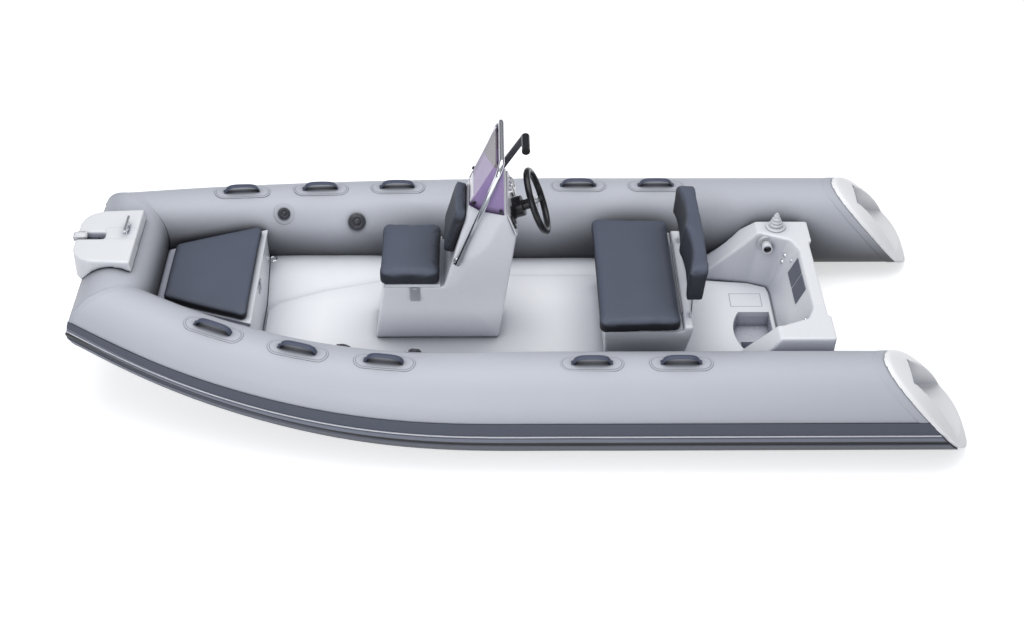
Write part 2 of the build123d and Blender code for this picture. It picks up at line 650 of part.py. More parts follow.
# ---------------------------------------------------------------- console
# Side view of the body, as (x, z).
CONSOLE_SEAT_Z = 490.0
CONSOLE_TOP_FRONT = (238.0, 958.0)
CONSOLE_TOP_AFT = (82.0, 925.0)
DASH_FOOT = (28.0, 778.0)
CONSOLE_PROFILE = [
    (722.0, DECK_HEIGHT), (664.0, CONSOLE_SEAT_Z), (378.0, CONSOLE_SEAT_Z),
    CONSOLE_TOP_FRONT, CONSOLE_TOP_AFT, DASH_FOOT, (112.0, DECK_HEIGHT),
]
# End view of one side, as (half-width, z).
CONSOLE_BASE_HALF = 118.0
CONSOLE_HALF = 198.0
CONSOLE_BROW_HALF = 192.0
CONSOLE_ENDS = [
    (CONSOLE_BASE_HALF, DECK_HEIGHT), (CONSOLE_HALF, CONSOLE_SEAT_Z), (CONSOLE_HALF, 760.0),
    (CONSOLE_BROW_HALF, 980.0),
]
# The aft flank leans in from a crease: three points on that plane.
CREASE_HIGH = (119.0, CONSOLE_HALF, 864.0)
CREASE_LOW = (325.0, CONSOLE_HALF, 483.0)
FLANK_FOOT = (112.0, CONSOLE_BASE_HALF, DECK_HEIGHT)
TAPER_LOW_Z = 640.0            # the top narrows towards the bow above this
TAPER_HIGH_Z = 960.0
TOP_SHOULDER = (200.0, 145.0)  # on the narrowed top, as (x, half-width)
TOP_CORNER = (233.0, 94.0)
SEAT_HOLLOW_DEPTH = 250.0
SEAT_HOLLOW_MARGIN = 34.0
LATCH_X = 515.0                # latch of the seat, in a recess of the port side
LATCH_RECESS = 12.0


def flank_cut():
    """Everything outboard of the port aft flank."""
    origin = Vector(*CREASE_HIGH)
    along = Vector(*CREASE_LOW) - origin
    down = Vector(*FLANK_FOOT) - origin
    normal = down.cross(along).normalized()
    if normal.Y < 0:
        normal = normal * -1
    return extrude(Plane(origin, z_dir=normal) * Rectangle(BEYOND, BEYOND), BEYOND / 2)


def front_taper_cut():
    """Trims the upper front corners so that the top narrows inside the windscreen."""
    wide = CONSOLE_HALF + 5
    low = [(95.0, wide), (250.0, wide), (335.0, wide), (700.0, wide)]
    high = [(95.0, wide), TOP_SHOULDER, TOP_CORNER, (700.0, 0.0)]
    faces = []
    for outline, z in ((low, TAPER_LOW_Z), (high, TAPER_HIGH_Z)):
        corners = [(x, y, z) for x, y in outline + [(700.0, 400.0), (95.0, 400.0)]]
        faces.append(make_face(Polyline(corners, close=True)))
    return loft(faces, ruled=True)


def console_body():
    body = side_slab(CONSOLE_PROFILE, -300, 300)
    ends = CONSOLE_ENDS + [(-y, z) for y, z in reversed(CONSOLE_ENDS)]
    body = body & cross_slab(ends, -100, 900)
    for cut in (flank_cut(), front_taper_cut()):
        body = body - cut - other_side(cut)
    margin = SEAT_HOLLOW_MARGIN
    hollow = block(378.0 + margin + 16, 664.0 - margin, -CONSOLE_HALF + margin + 22,
                   CONSOLE_HALF - margin - 22, CONSOLE_SEAT_Z - SEAT_HOLLOW_DEPTH,
                   CONSOLE_SEAT_Z + 50)
    return Pos(0, 0, SEAT_GAP) * body - hollow


console = console_body()
console = console - block(LATCH_X - 30, LATCH_X + 30, CONSOLE_HALF - LATCH_RECESS, CONSOLE_HALF + 50,
                          CONSOLE_SEAT_Z - 95, CONSOLE_SEAT_Z + 5)
write("console", console)

# Seat lid and cushion on the forward part of the console.
SEAT_LID_THICKNESS = 16.0
SEAT_CUSHION_THICKNESS = 80.0
SEAT_AFT_X = 388.0
SEAT_FRONT_X = 690.0
SEAT_HALF = 215.0
SEAT_HINGE_Y = -194.0
lid_low = CONSOLE_SEAT_Z + SEAT_GAP * 2
lid_high = lid_low + SEAT_LID_THICKNESS
lid = block(SEAT_AFT_X + 4, SEAT_FRONT_X - 30, SEAT_HINGE_Y, CONSOLE_HALF - 4, lid_low, lid_high)
seat_pin_z = CONSOLE_SEAT_Z + SEAT_GAP + HINGE_PIN_RADIUS
hinge_pins.append(rod((SEAT_AFT_X + 12, SEAT_HINGE_Y, seat_pin_z),
                      (SEAT_FRONT_X - 38, SEAT_HINGE_Y, seat_pin_z), HINGE_PIN_RADIUS))
write("console_seat_lid", lid - rod((SEAT_AFT_X, SEAT_HINGE_Y, seat_pin_z),
                                    (SEAT_FRONT_X, SEAT_HINGE_Y, seat_pin_z),
                                    HINGE_PIN_RADIUS + RUNNING_GAP))
pad = block(SEAT_AFT_X, SEAT_FRONT_X, -SEAT_HALF, SEAT_HALF, lid_high + SEAT_GAP,
            lid_high + SEAT_CUSHION_THICKNESS)
pad = fillet(pad.edges().filter_by(Axis.Z), 40)
pad = fillet(pad.faces().sort_by(Axis.Z)[-1].edges(), 18)
write("console_seat_cushion", pad)

# Backrest pad on the sloping front of the console.
BACKREST_PAD_LOW = 636.0
BACKREST_PAD_HIGH = 882.0
BACKREST_PAD_THICKNESS = 46.0
BACKREST_PAD_HALF = 152.0
front_run = (CONSOLE_TOP_FRONT[0] - 378.0) / (CONSOLE_TOP_FRONT[1] - CONSOLE_SEAT_Z)


def console_front_x(z):
    return 378.0 + front_run * (z - CONSOLE_SEAT_Z) + SEAT_GAP


def front_pad():
    seat = SEAT_GAP
    low, high = BACKREST_PAD_LOW, BACKREST_PAD_HIGH
    normal = Vector(1, 0, -front_run).normalized() * BACKREST_PAD_THICKNESS
    foot = (console_front_x(low) + seat, low)
    head = (console_front_x(high) + seat, high)
    outline = [foot, head, (head[0] + normal.X, head[1] + normal.Z),
               (foot[0] + normal.X, foot[1] + normal.Z)]
    pad = side_slab(outline, -BACKREST_PAD_HALF, BACKREST_PAD_HALF)
    across = Vector(normal.X, 0, normal.Z).normalized()
    return fillet(pad.edges().filter_by(lambda e: abs((e % 0.5).dot(across)) > 0.99), 45)


write("console_backrest_cushion", front_pad())


# ---------------------------------------------------------------- windscreen and rail
SCREEN_THICKNESS = 5.0
SCREEN_FOOT_Z = 916.0
SCREEN_TOP_Z = 1165.0
SCREEN_FOOT = [(88.0, 204.0), (200.0, 168.0), (252.0, 118.0)]
SCREEN_HEAD = [(92.0, 188.0), (108.0, 184.0), (128.0, 150.0)]


def screen_ring(points, z):
    """Thin U in plan: aft corner, shoulder and front corner, as (x, half-width)."""
    outer = [(x, y) for x, y in points]
    inner = [(points[0][0], points[0][1] - SCREEN_THICKNESS),
             (points[1][0] - 3.0, points[1][1] - SCREEN_THICKNESS),
             (points[2][0] - SCREEN_THICKNESS, points[2][1] - 3.0)]
    ring = outer + [(x, -y) for x, y in reversed(outer)]
    ring += [(x, -y) for x, y in inner] + [(x, y) for x, y in reversed(inner)]
    return make_face(Polyline([(x, y, z) for x, y in ring], close=True))


screen = loft([screen_ring(SCREEN_FOOT, SCREEN_FOOT_Z), screen_ring(SCREEN_HEAD, SCREEN_TOP_Z)],
              ruled=True)
SCREEN_BOLTS = [(103.0, 202.0, 940.0, 0.0), (226.0, 142.0, 945.0, 46.0)]
BOLT_RADIUS = 5.0
BOLT_HEAD_RADIUS = 9.0


def screen_bolt(x, y, z, turn):
    """Bolt through the port screen; turn is how far it points forward, in degrees."""
    out = Vector(sin(radians(turn)), cos(radians(turn)), 0)
    start = Vector(x, y, z)
    shank = rod(start - out * 9, start + out * 4, BOLT_RADIUS)
    head = rod(start + out * 4, start + out * 11, BOLT_HEAD_RADIUS)
    return shank + head


def bolt_hole(x, y, z, turn):
    out = Vector(sin(radians(turn)), cos(radians(turn)), 0)
    start = Vector(x, y, z)
    return rod(start - out * 40, start + out * 40, BOLT_RADIUS + SEAT_GAP)


bolts = [screen_bolt(*row) - console for row in SCREEN_BOLTS]
holes = [bolt_hole(*row) for row in SCREEN_BOLTS]
for hole in holes + [other_side(hole) for hole in holes]:
    screen = screen - hole
screen_bolts = bolts + [other_side(bolt) for bolt in bolts]
write("screen_bolts", Compound(children=screen_bolts))
write("windscreen", screen - console)

RAIL_RADIUS = 12.5
RAIL_HALF = 214.0
RAIL_FOOT = (307.0, RAIL_HALF, 645.0)
RAIL_KNEE = (100.0, RAIL_HALF, 1186.0)


def rail():
    foot, knee = Vector(*RAIL_FOOT), Vector(*RAIL_KNEE)
    start = foot - Vector(0, 30, 0)
    route = FilletPolyline(start, foot, knee, Vector(knee.X, -knee.Y, knee.Z),
                           Vector(foot.X, -foot.Y, foot.Z), Vector(start.X, -start.Y, start.Z),
                           radius=26)
    section = Plane(start, z_dir=(0, 1, 0)) * Circle(RAIL_RADIUS)
    return sweep(section, path=route)


write("screen_rail", rail() - console)


# ---------------------------------------------------------------- helm
# The dash plane slopes; the wheel's shaft stands square to it.
DASH_UP = (Vector(CONSOLE_TOP_AFT[0], 0, CONSOLE_TOP_AFT[1])
           - Vector(DASH_FOOT[0], 0, DASH_FOOT[1])).normalized()
DASH_OUT = Vector(-DASH_UP.Z, 0, DASH_UP.X)
SHAFT_FOOT = Vector(41.5, 0, 814.5)      # where the shaft leaves the dash
HELM_RADIUS = 50.0
HELM_LENGTH = 48.0
COLUMN_RADIUS = 25.0
COLUMN_LENGTH = 34.0
SHAFT_RADIUS = 10.0
WHEEL_OFFSET = 118.0           # rim plane from the dash
WHEEL_RADIUS = 150.0           # to the middle of the rim
RIM_RADIUS = 16.0
WHEEL_BOSS_RADIUS = 36.0


def dash_plane(out, up=0.0, across=0.0):
    """Plane parallel to the dash, out from it, with x to port and y up the dash."""
    origin = SHAFT_FOOT + DASH_OUT * (out + SEAT_GAP) + DASH_UP * up + Vector(0, across, 0)
    return Plane(origin, x_dir=(0, -1, 0), z_dir=DASH_OUT)


PANEL_THICKNESS = 5.0
dash_plate = extrude(dash_plane(0, 33, 0) * RectangleRounded(376, 132, 14), PANEL_THICKNESS)
dash_plate = dash_plate - extrude(dash_plane(-1) * Circle(HELM_RADIUS + 0.5), 20)
write("dash_panel", dash_plate)

gauges = []
for across in (-152.0, -86.0):
    dial = extrude(dash_plane(PANEL_THICKNESS, 42, across) * Circle(31), 9)
    gauges.append(dial - extrude(dash_plane(PANEL_THICKNESS + 6, 42, across) * Circle(26), 9))
write("gauge_bezels", Compound(children=gauges))
switches = []
for row in (12.0, 48.0):
    for column in range(3):
        across = 82.0 + 38.0 * column
        plane = dash_plane(PANEL_THICKNESS, row, across)
        switches.append(extrude(plane * RectangleRounded(24, 30, 4), 8))
write("switches", Compound(children=switches))

helm = extrude(dash_plane(0) * Circle(HELM_RADIUS), HELM_LENGTH)
helm = helm + extrude(dash_plane(HELM_LENGTH) * Circle(COLUMN_RADIUS), COLUMN_LENGTH)
helm = helm - extrude(dash_plane(20) * Circle(SHAFT_RADIUS + RUNNING_GAP), 100)
write("helm_unit", helm)

rim = dash_plane(WHEEL_OFFSET) * Torus(WHEEL_RADIUS, RIM_RADIUS)
shaft = extrude(dash_plane(30) * Circle(SHAFT_RADIUS), WHEEL_OFFSET - 30)
boss = extrude(dash_plane(HELM_LENGTH + COLUMN_LENGTH + 3) * Circle(WHEEL_BOSS_RADIUS), 28)
spokes = []
for turn in (90.0, 210.0, 330.0):
    spoke = dash_plane(WHEEL_OFFSET - 8) * Rot(0, 0, turn) * Pos(84, 0, 0) * Box(132, 24, 8)
    spokes.append(spoke)
wheel = boss + shaft
for spoke in spokes:
    wheel = wheel + spoke
write("steering_wheel_hub", wheel - rim)
write("steering_wheel_rim", rim)

# Remote control on the starboard flank: housing, lever arm and grip.
CONTROL_X = 112.0
CONTROL_Z = 880.0
CONTROL_RADIUS = 30.0
GRIP_X = -16.0
GRIP_Z = 1070.0
CONTROL_FACE = -CONSOLE_HALF - 10.0
arm_face = CONTROL_FACE - 22.0
housing = rod((CONTROL_X, CONTROL_FACE - 20, CONTROL_Z), (CONTROL_X, -180.0, CONTROL_Z), CONTROL_RADIUS)
write("control_housing", housing - console)
arm = side_slab([(CONTROL_X - 14, CONTROL_Z - 14), (CONTROL_X + 16, CONTROL_Z - 4),
                 (GRIP_X + 14, GRIP_Z + 8), (GRIP_X - 12, GRIP_Z - 6)],
                arm_face - 10, CONTROL_FACE - 20)
write("control_lever", arm)
write("control_grip", rod((GRIP_X, CONTROL_FACE - 20, GRIP_Z), (GRIP_X, -98.0, GRIP_Z), 20))


# ---------------------------------------------------------------- rear seat
REAR_FRONT_X = -386.0
REAR_SHELF_X = -765.0
REAR_AFT_X = -812.0
REAR_BOX_Z = 372.0
REAR_SHELF_Z = 400.0
REAR_TOP_HALF = 392.0
REAR_FOOT_HALF = 318.0
REAR_LID_THICKNESS = 14.0
REAR_CUSHION_THICKNESS = 68.0
REAR_CUSHION_FRONT_X = -352.0
REAR_CUSHION_AFT_X = -758.0
REAR_CUSHION_FRONT_HALF = 440.0
REAR_CUSHION_AFT_HALF = 424.0
REAR_PIN_RADIUS = 3.0
REAR_LEAF_HALF = 280.0
REAR_WALL = 24.0


def rear_box():
    side = side_slab([(REAR_FRONT_X - 16, DECK_HEIGHT), (REAR_FRONT_X, REAR_BOX_Z),
                      (REAR_SHELF_X, REAR_BOX_Z), (REAR_SHELF_X, REAR_SHELF_Z),
                      (REAR_AFT_X, REAR_SHELF_Z), (REAR_AFT_X + 36, DECK_HEIGHT)], -500, 500)
    ends = [(REAR_FOOT_HALF, DECK_HEIGHT + SEAT_GAP), (REAR_TOP_HALF, 330.0),
            (REAR_TOP_HALF, 500.0)]
    ends = ends + [(-y, z) for y, z in reversed(ends)]
    body = side & cross_slab(ends, -900, -300)
    hollow = block(REAR_SHELF_X + REAR_WALL, REAR_FRONT_X - REAR_WALL, -REAR_FOOT_HALF + REAR_WALL,
                   REAR_FOOT_HALF - REAR_WALL, REAR_BOX_Z - 190, REAR_BOX_Z + 20)
    return body - hollow


write("rear_seat_box", rear_box())
lid = block(REAR_SHELF_X + 4, REAR_FRONT_X - 4, -REAR_TOP_HALF + 6, REAR_TOP_HALF - 6,
            REAR_BOX_Z + SEAT_GAP, REAR_BOX_Z + REAR_LID_THICKNESS)
rear_pin_x = REAR_SHELF_X - 1
rear_pin_z = REAR_SHELF_Z + SEAT_GAP + REAR_PIN_RADIUS
leaf = block(REAR_SHELF_X + SEAT_GAP * 2, REAR_SHELF_X + 4, -REAR_LEAF_HALF, REAR_LEAF_HALF,
             REAR_BOX_Z + SEAT_GAP, rear_pin_z)
hinge_pins.append(rod((rear_pin_x, -REAR_LEAF_HALF, rear_pin_z),
                      (rear_pin_x, REAR_LEAF_HALF, rear_pin_z), REAR_PIN_RADIUS))
write("lid_hinge_pins", Compound(children=hinge_pins))
write("rear_seat_lid", (lid + leaf) - rod((rear_pin_x, -500, rear_pin_z),
                                          (rear_pin_x, 500, rear_pin_z),
                                          REAR_PIN_RADIUS + RUNNING_GAP))
pad_low = REAR_BOX_Z + REAR_LID_THICKNESS + SEAT_GAP
pad = plan_slab([(REAR_CUSHION_FRONT_X, REAR_CUSHION_FRONT_HALF),
                 (REAR_CUSHION_AFT_X, REAR_CUSHION_AFT_HALF),
                 (REAR_CUSHION_AFT_X, -REAR_CUSHION_AFT_HALF),
                 (REAR_CUSHION_FRONT_X, -REAR_CUSHION_FRONT_HALF)],
                pad_low, pad_low + REAR_CUSHION_THICKNESS)
pad = fillet(pad.edges().filter_by(Axis.Z), 40)
pad = fillet(pad.faces().sort_by(Axis.Z)[-1].edges(), 18)
write("rear_cushion", pad)

# Wrap-round backrest on two flat stainless supports.
BACKREST_LOW_Z = 528.0
BACKREST_HIGH_Z = 720.0
BACKREST_HALF = 362.0
BACKREST_CORNER = 42.0         # its upper corners, seen from ahead
# Front and back faces at the foot and the head: end, hollow and middle of the front,
# end and middle of the back.
BACKREST_FACES = [
    # z, end, hollow, middle, back end, back middle
    (BACKREST_LOW_Z, -762.0, -780.0, -762.0, -841.0, -849.0),
    (BACKREST_HIGH_Z, -770.0, -808.0, -790.0, -862.0, -870.0),
]
HOLLOW_Y = 205.0
SUPPORT_Y = 300.0
SUPPORT_FRONT_X = -798.0
SUPPORT_THICKNESS = 6.0
SUPPORT_WIDTH = 42.0
SUPPORT_INSERT = 60.0          # height inside the backrest


def backrest_face(z, end, hollow, middle, back_end, back_middle):
    """Level outline with a hollow for each of two sitters."""
    half = BACKREST_HALF
    outline = [
        ThreePointArc((end, half, z), (hollow, HOLLOW_Y, z), (middle, 0, z)),
        ThreePointArc((middle, 0, z), (hollow, -HOLLOW_Y, z), (end, -half, z)),
        Line((end, -half, z), (back_end, -half, z)),
        ThreePointArc((back_end, -half, z), (back_middle, 0, z), (back_end, half, z)),
        Line((back_end, half, z), (end, half, z)),
    ]
    return make_face(Wire(outline))


def backrest():
    body = loft([backrest_face(*row) for row in BACKREST_FACES], ruled=True)
    height = BACKREST_HIGH_Z - BACKREST_LOW_Z
    middle_z = BACKREST_HIGH_Z - height
    front_view = Plane((0, 0, middle_z), x_dir=(0, 1, 0), z_dir=(-1, 0, 0))
    outline = front_view * RectangleRounded(2 * BACKREST_HALF, 2 * height, BACKREST_CORNER)
    return body & extrude(outline, BEYOND / 2)


def support(side):
    y = side * SUPPORT_Y
    x_back = SUPPORT_FRONT_X - SUPPORT_THICKNESS
    return block(x_back, SUPPORT_FRONT_X, y - SUPPORT_WIDTH / 2, y + SUPPORT_WIDTH / 2,
                 REAR_SHELF_Z, BACKREST_LOW_Z + SUPPORT_INSERT)


supports = support(1) + support(-1)
write("backrest_supports", supports)
sockets = []
for side in (1, -1):
    y = side * SUPPORT_Y
    half = SUPPORT_WIDTH / 2 + SEAT_GAP
    sockets.append(block(SUPPORT_FRONT_X - SUPPORT_THICKNESS - SEAT_GAP, SUPPORT_FRONT_X + SEAT_GAP,
                         y - half, y + half, 0, BACKREST_LOW_Z + SUPPORT_INSERT + SEAT_GAP))
write("rear_backrest", backrest() - sockets[0] - sockets[1])


# ---------------------------------------------------------------- tube fittings
HANDLE_STATIONS = [1454.0, 1055.0, 649.0, -309.0, -716.0]
HANDLE_LENGTH = 178.0
HANDLE_RISE = 40.0
HANDLE_WIDTH = 27.0
STRAP_THICKNESS = 4.5


def handle(x):
    """Arched webbing strap on top of the port tube."""
    frame = tube_plane(x)
    crest = frame.origin + frame.y_dir * tube_radius(x)
    side = Plane(crest, x_dir=frame.z_dir, z_dir=frame.x_dir * -1)
    half = HANDLE_LENGTH / 2
    foot, knee = -14.0, 30.0
    outer = [(-half, foot), (-half + 12, knee), (-half + 42, HANDLE_RISE),
             (half - 42, HANDLE_RISE), (half - 12, knee), (half, foot)]
    t = STRAP_THICKNESS
    inner = [(half - t, foot), (half - 12 - t, knee - t), (half - 43, HANDLE_RISE - t),
             (-half + 43, HANDLE_RISE - t), (-half + 12 + t, knee - t), (-half + t, foot)]
    strap = make_face(Polyline([side.from_local_coords((a, b, -HANDLE_WIDTH / 2))
                                for a, b in outer + inner], close=True))
    return extrude(strap, HANDLE_WIDTH, dir=tuple(frame.x_dir * -1)) - TUBE_CUTTER


port_handles = [handle(x) for x in HANDLE_STATIONS]
write("grab_handles", Compound(children=port_handles + [other_side(h) for h in port_handles]))

# Inflation valves on the inboard faces: station, angle above the axis, radius.
STARBOARD_VALVES = [(1262.0, 46.0, 30.0), (878.0, 33.0, 44.0)]
PORT_VALVES = [(520.0, 46.0, 30.0), (878.0, 26.0, 44.0)]


def valve(x, angle, radius):
    frame = tube_plane(x)
    out = (frame.x_dir * -cos(radians(angle)) + frame.y_dir * sin(radians(angle))).normalized()
    skin = frame.origin + out * (tube_radius(x) - 8)
    flange = extrude(Plane(skin, z_dir=out) * Circle(radius), 8 + 7)
    cap = extrude(Plane(skin, z_dir=out) * Circle(radius * 0.72), 8 + 14)
    return (flange + cap) - TUBE_CUTTER


starboard_valves = [other_side(valve(*row)) for row in STARBOARD_VALVES]
valves = [valve(*row) for row in PORT_VALVES] + starboard_valves
write("tube_valves", Compound(children=valves))


# ---------------------------------------------------------------- bow fittings
ROLLER_WIDTH = 44.0
CHEEK_INNER = 23.0
CHEEK_FROM_X = ROLLER_X - 86.0


def roller_rod(half_width, radius):
    return rod((ROLLER_X, -half_width, ROLLER_Z), (ROLLER_X, half_width, ROLLER_Z), radius)


def roller_cheek(side):
    """Side plate of the fairlead, flat against the slot's wall."""
    low, high = ROLLER_Z - 22, ROLLER_Z + 20
    plate = side_slab([(CHEEK_FROM_X, low), (ROLLER_X, low), (ROLLER_X + 18, ROLLER_Z),
                       (ROLLER_X + 6, high), (CHEEK_FROM_X, high)], CHEEK_INNER, SLOT_HALF)
    return plate if side > 0 else other_side(plate)


fairlead = roller_cheek(1) + roller_cheek(-1) + roller_rod(SLOT_HALF, ROLLER_PIN_RADIUS)
write("roller_fairlead", clear_of_tubes(fairlead))
roller = roller_rod(ROLLER_WIDTH / 2, ROLLER_RADIUS)
write("bow_roller", roller - roller_rod(SLOT_HALF, ROLLER_PIN_RADIUS + RUNNING_GAP))

CLEAT_X = STEP_AFT_X + 50.0
CLEAT_Y = -44.0
CLEAT_LENGTH = 122.0
CLEAT_HEIGHT = 34.0
cleat_z = STEP_TOP_Z
cleat = rod((CLEAT_X, CLEAT_Y - CLEAT_LENGTH / 2, cleat_z + CLEAT_HEIGHT),
            (CLEAT_X, CLEAT_Y + CLEAT_LENGTH / 2, cleat_z + CLEAT_HEIGHT), 7)
for offset in (-22.0, 22.0):
    y = CLEAT_Y + offset
    cleat = cleat + rod((CLEAT_X, y, cleat_z), (CLEAT_X, y, cleat_z + CLEAT_HEIGHT), 7.5)
cleat = cleat + block(CLEAT_X - 13, CLEAT_X + 13, CLEAT_Y - 36, CLEAT_Y + 36, cleat_z, cleat_z + 4)
write("bow_cleat", cleat)

# Latches: a plate with its catch on each locker.
latch = block(LOCKER_AFT_X - 6, LOCKER_AFT_X, -24, 24, LOCKER_TOP - 82, LOCKER_TOP - 28)
latch = latch + block(LOCKER_AFT_X - 12, LOCKER_AFT_X - 6, -12, 12, LOCKER_TOP - 70, LOCKER_TOP - 12)
latches = [latch]
latch_y = CONSOLE_HALF - LATCH_RECESS
latch = block(LATCH_X - 23, LATCH_X + 23, latch_y, latch_y + 5, CONSOLE_SEAT_Z - 88, CONSOLE_SEAT_Z - 8)
latch = latch + block(LATCH_X - 9, LATCH_X + 9, latch_y + 5, latch_y + 10, CONSOLE_SEAT_Z - 78,
                      CONSOLE_SEAT_Z - 14)
latches.append(latch)
latch = block(REAR_FRONT_X, REAR_FRONT_X + 5, -92, -40, REAR_BOX_Z - 72, REAR_BOX_Z - 14)
latch = latch + block(REAR_FRONT_X + 5, REAR_FRONT_X + 10, -76, -56, REAR_BOX_Z - 64,
                      REAR_BOX_Z - 4)
latches.append(latch)
write("latches", Compound(children=latches))


def ring_eye(centre, normal, radius, wire):
    """Eye standing on a surface: base disc and a ring on edge across it."""
    normal = Vector(*normal).normalized()
    base = extrude(Plane(centre, z_dir=normal) * Circle(radius * 0.9), 5)
    ring_centre = Vector(*centre) + normal * (radius + wire + 1)
    side = normal.cross(Vector(0, 1, 0)).normalized()
    ring = Plane(ring_centre, z_dir=side) * Torus(radius, wire)
    return base + ring


locker_eye = ring_eye((LOCKER_AFT_X, -352, 248), (-1, 0, 0), 18, 4)
EYE_Z = TRANSOM_TOP_HEIGHT - 145.0
eye_x = TRANSOM_TOP_X + rake * (TRANSOM_TOP_HEIGHT - EYE_Z)
eye = ring_eye((eye_x, 215, EYE_Z), (-1, 0, -rake), 24, 5)
write("pad_eyes", Compound(children=[locker_eye, eye, other_side(eye)]))


# ---------------------------------------------------------------- stern fittings
GLAND_X = -1313.0
GLAND_Y = -421.0
gland = rod((GLAND_X, GLAND_Y, TRANSOM_TOP_HEIGHT), (GLAND_X, GLAND_Y, TRANSOM_TOP_HEIGHT + 8), 48)
for low, high, wide, narrow in ((8, 34, 40, 28), (34, 58, 30, 19), (58, 86, 20, 9)):
    stage = Pos(GLAND_X, GLAND_Y, TRANSOM_TOP_HEIGHT + (low + high) / 2)
    gland = gland + stage * Cone(wide, narrow, high - low)
write("cable_gland", gland)

ELBOW_X = -1262.0
ELBOW_Z = TRANSOM_TOP_HEIGHT - 57.0
ELBOW_REACH = 62.0
ELBOW_WALL_Y = -365.0
elbow = rod((ELBOW_X, ELBOW_WALL_Y - 60, ELBOW_Z), (ELBOW_X, ELBOW_WALL_Y + 16, ELBOW_Z), 46)
elbow = elbow + rod((ELBOW_X, ELBOW_WALL_Y - 60, ELBOW_Z),
                    (ELBOW_X, ELBOW_WALL_Y + ELBOW_REACH, ELBOW_Z), 26)
elbow = elbow - rod((ELBOW_X, ELBOW_WALL_Y + 4, ELBOW_Z), (ELBOW_X, ELBOW_WALL_Y + 90, ELBOW_Z), 20)
elbow = elbow - moulding
write("rigging_elbow", elbow)
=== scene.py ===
import json
from math import atan2, cos, degrees, exp, pi, radians, sin, sqrt, tan

import bmesh
import bpy
from mathutils import Matrix, Vector


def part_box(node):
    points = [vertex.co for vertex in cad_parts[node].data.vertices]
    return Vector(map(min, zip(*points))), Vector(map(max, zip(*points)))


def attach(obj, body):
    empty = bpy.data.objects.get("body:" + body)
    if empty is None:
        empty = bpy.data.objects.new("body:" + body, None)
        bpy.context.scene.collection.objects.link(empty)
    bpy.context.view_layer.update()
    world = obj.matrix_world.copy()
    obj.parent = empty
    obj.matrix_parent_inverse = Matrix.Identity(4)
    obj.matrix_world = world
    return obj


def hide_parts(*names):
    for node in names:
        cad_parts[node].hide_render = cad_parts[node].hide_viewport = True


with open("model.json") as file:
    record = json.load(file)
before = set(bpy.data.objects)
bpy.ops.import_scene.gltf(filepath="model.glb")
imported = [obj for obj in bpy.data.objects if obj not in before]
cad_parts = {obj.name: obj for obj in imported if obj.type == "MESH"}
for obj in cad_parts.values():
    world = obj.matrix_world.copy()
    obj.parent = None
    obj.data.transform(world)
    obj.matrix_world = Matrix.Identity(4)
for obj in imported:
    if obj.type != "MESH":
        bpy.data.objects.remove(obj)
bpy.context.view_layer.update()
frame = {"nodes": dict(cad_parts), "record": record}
nodes = frame["nodes"]


# ---- Camera
# A long lens well above the port side, turned a trace off square to the boat.
camera_data = bpy.data.cameras.new("camera")
camera_data.sensor_width = 36.0
camera_data.lens = 55.53
camera = bpy.data.objects.new("camera", camera_data)
bpy.context.scene.collection.objects.link(camera)
bpy.context.scene.camera = camera
bpy.context.scene.view_settings.view_transform = "Standard"
eye, aim = Vector((0.14989, 6.14738, 5.15745)), Vector((0.04524, 0.0, 0.15936))
away = (eye - aim).normalized()
across = Vector((0.0, 0.0, 1.0)).cross(away).normalized()
roll = Matrix.Rotation(radians(0.4693), 3, "Z")
turn = Matrix((across, away.cross(across), away)).transposed() @ roll
camera.matrix_world = Matrix.Translation(eye) @ turn.to_4x4()


# ---- Floor and light
# A pale sheet at the waterline under a large soft sky, with one broad lamp overhead and
# one off the port bow for the gloss. The sheet is open under the well in the sole.
FLOOR_GLOW = 0.58
SKY_STRENGTH = 0.60


class Shade:
    """A socket in a material's tree. Sums on it add Math nodes."""

    def __init__(self, tree, socket=None):
        self.tree = tree
        self.socket = socket

    def node(self, kind, settings={}, values={}, out=0):
        made = self.tree.nodes.new("ShaderNode" + kind)
        for name, setting in settings.items():
            setattr(made, name, setting)
        for name, value in values.items():
            if isinstance(value, Shade):
                self.tree.links.new(value.socket, made.inputs[name])
            else:
                made.inputs[name].default_value = value
        return Shade(self.tree, made.outputs[out])

    def math(self, operation, first, second=0.0, clamp=False):
        return self.node("Math", {"operation": operation, "use_clamp": clamp}, {0: first, 1: second})

    def __add__(self, other):
        return self.math("ADD", self, other)

    def __sub__(self, other):
        return self.math("SUBTRACT", self, other)

    def __rsub__(self, other):
        return self.math("SUBTRACT", other, self)

    def __mul__(self, other):
        return self.math("MULTIPLY", self, other)

    def __truediv__(self, other):
        return self.math("DIVIDE", self, other)

    __radd__ = __add__
    __rmul__ = __mul__

    def __pow__(self, other):
        return self.math("POWER", self, other)

    def size(self):
        return self.math("ABSOLUTE", self)

    def above(self, edge, soft):
        """0 below an edge and 1 above it, over a soft width."""
        return ((self - edge) / soft + 0.5).clamped()

    def clamped(self):
        return self.math("ADD", self, 0.0, clamp=True)

    def mixed(self, low, high):
        """Colour that runs from low to high as this value runs from 0 to 1."""
        return self.node("Mix", {"data_type": "RGBA"}, {0: self, 6: low, 7: high}, out=2)

    def times(self, grey):
        """Colour darkened by a value."""
        return self.node("Mix", {"data_type": "RGBA", "blend_type": "MULTIPLY"},
                         {0: 1.0, 6: self, 7: grey}, out=2)

    def feeds(self, shader, name):
        self.tree.links.new(self.socket, shader.inputs[name])


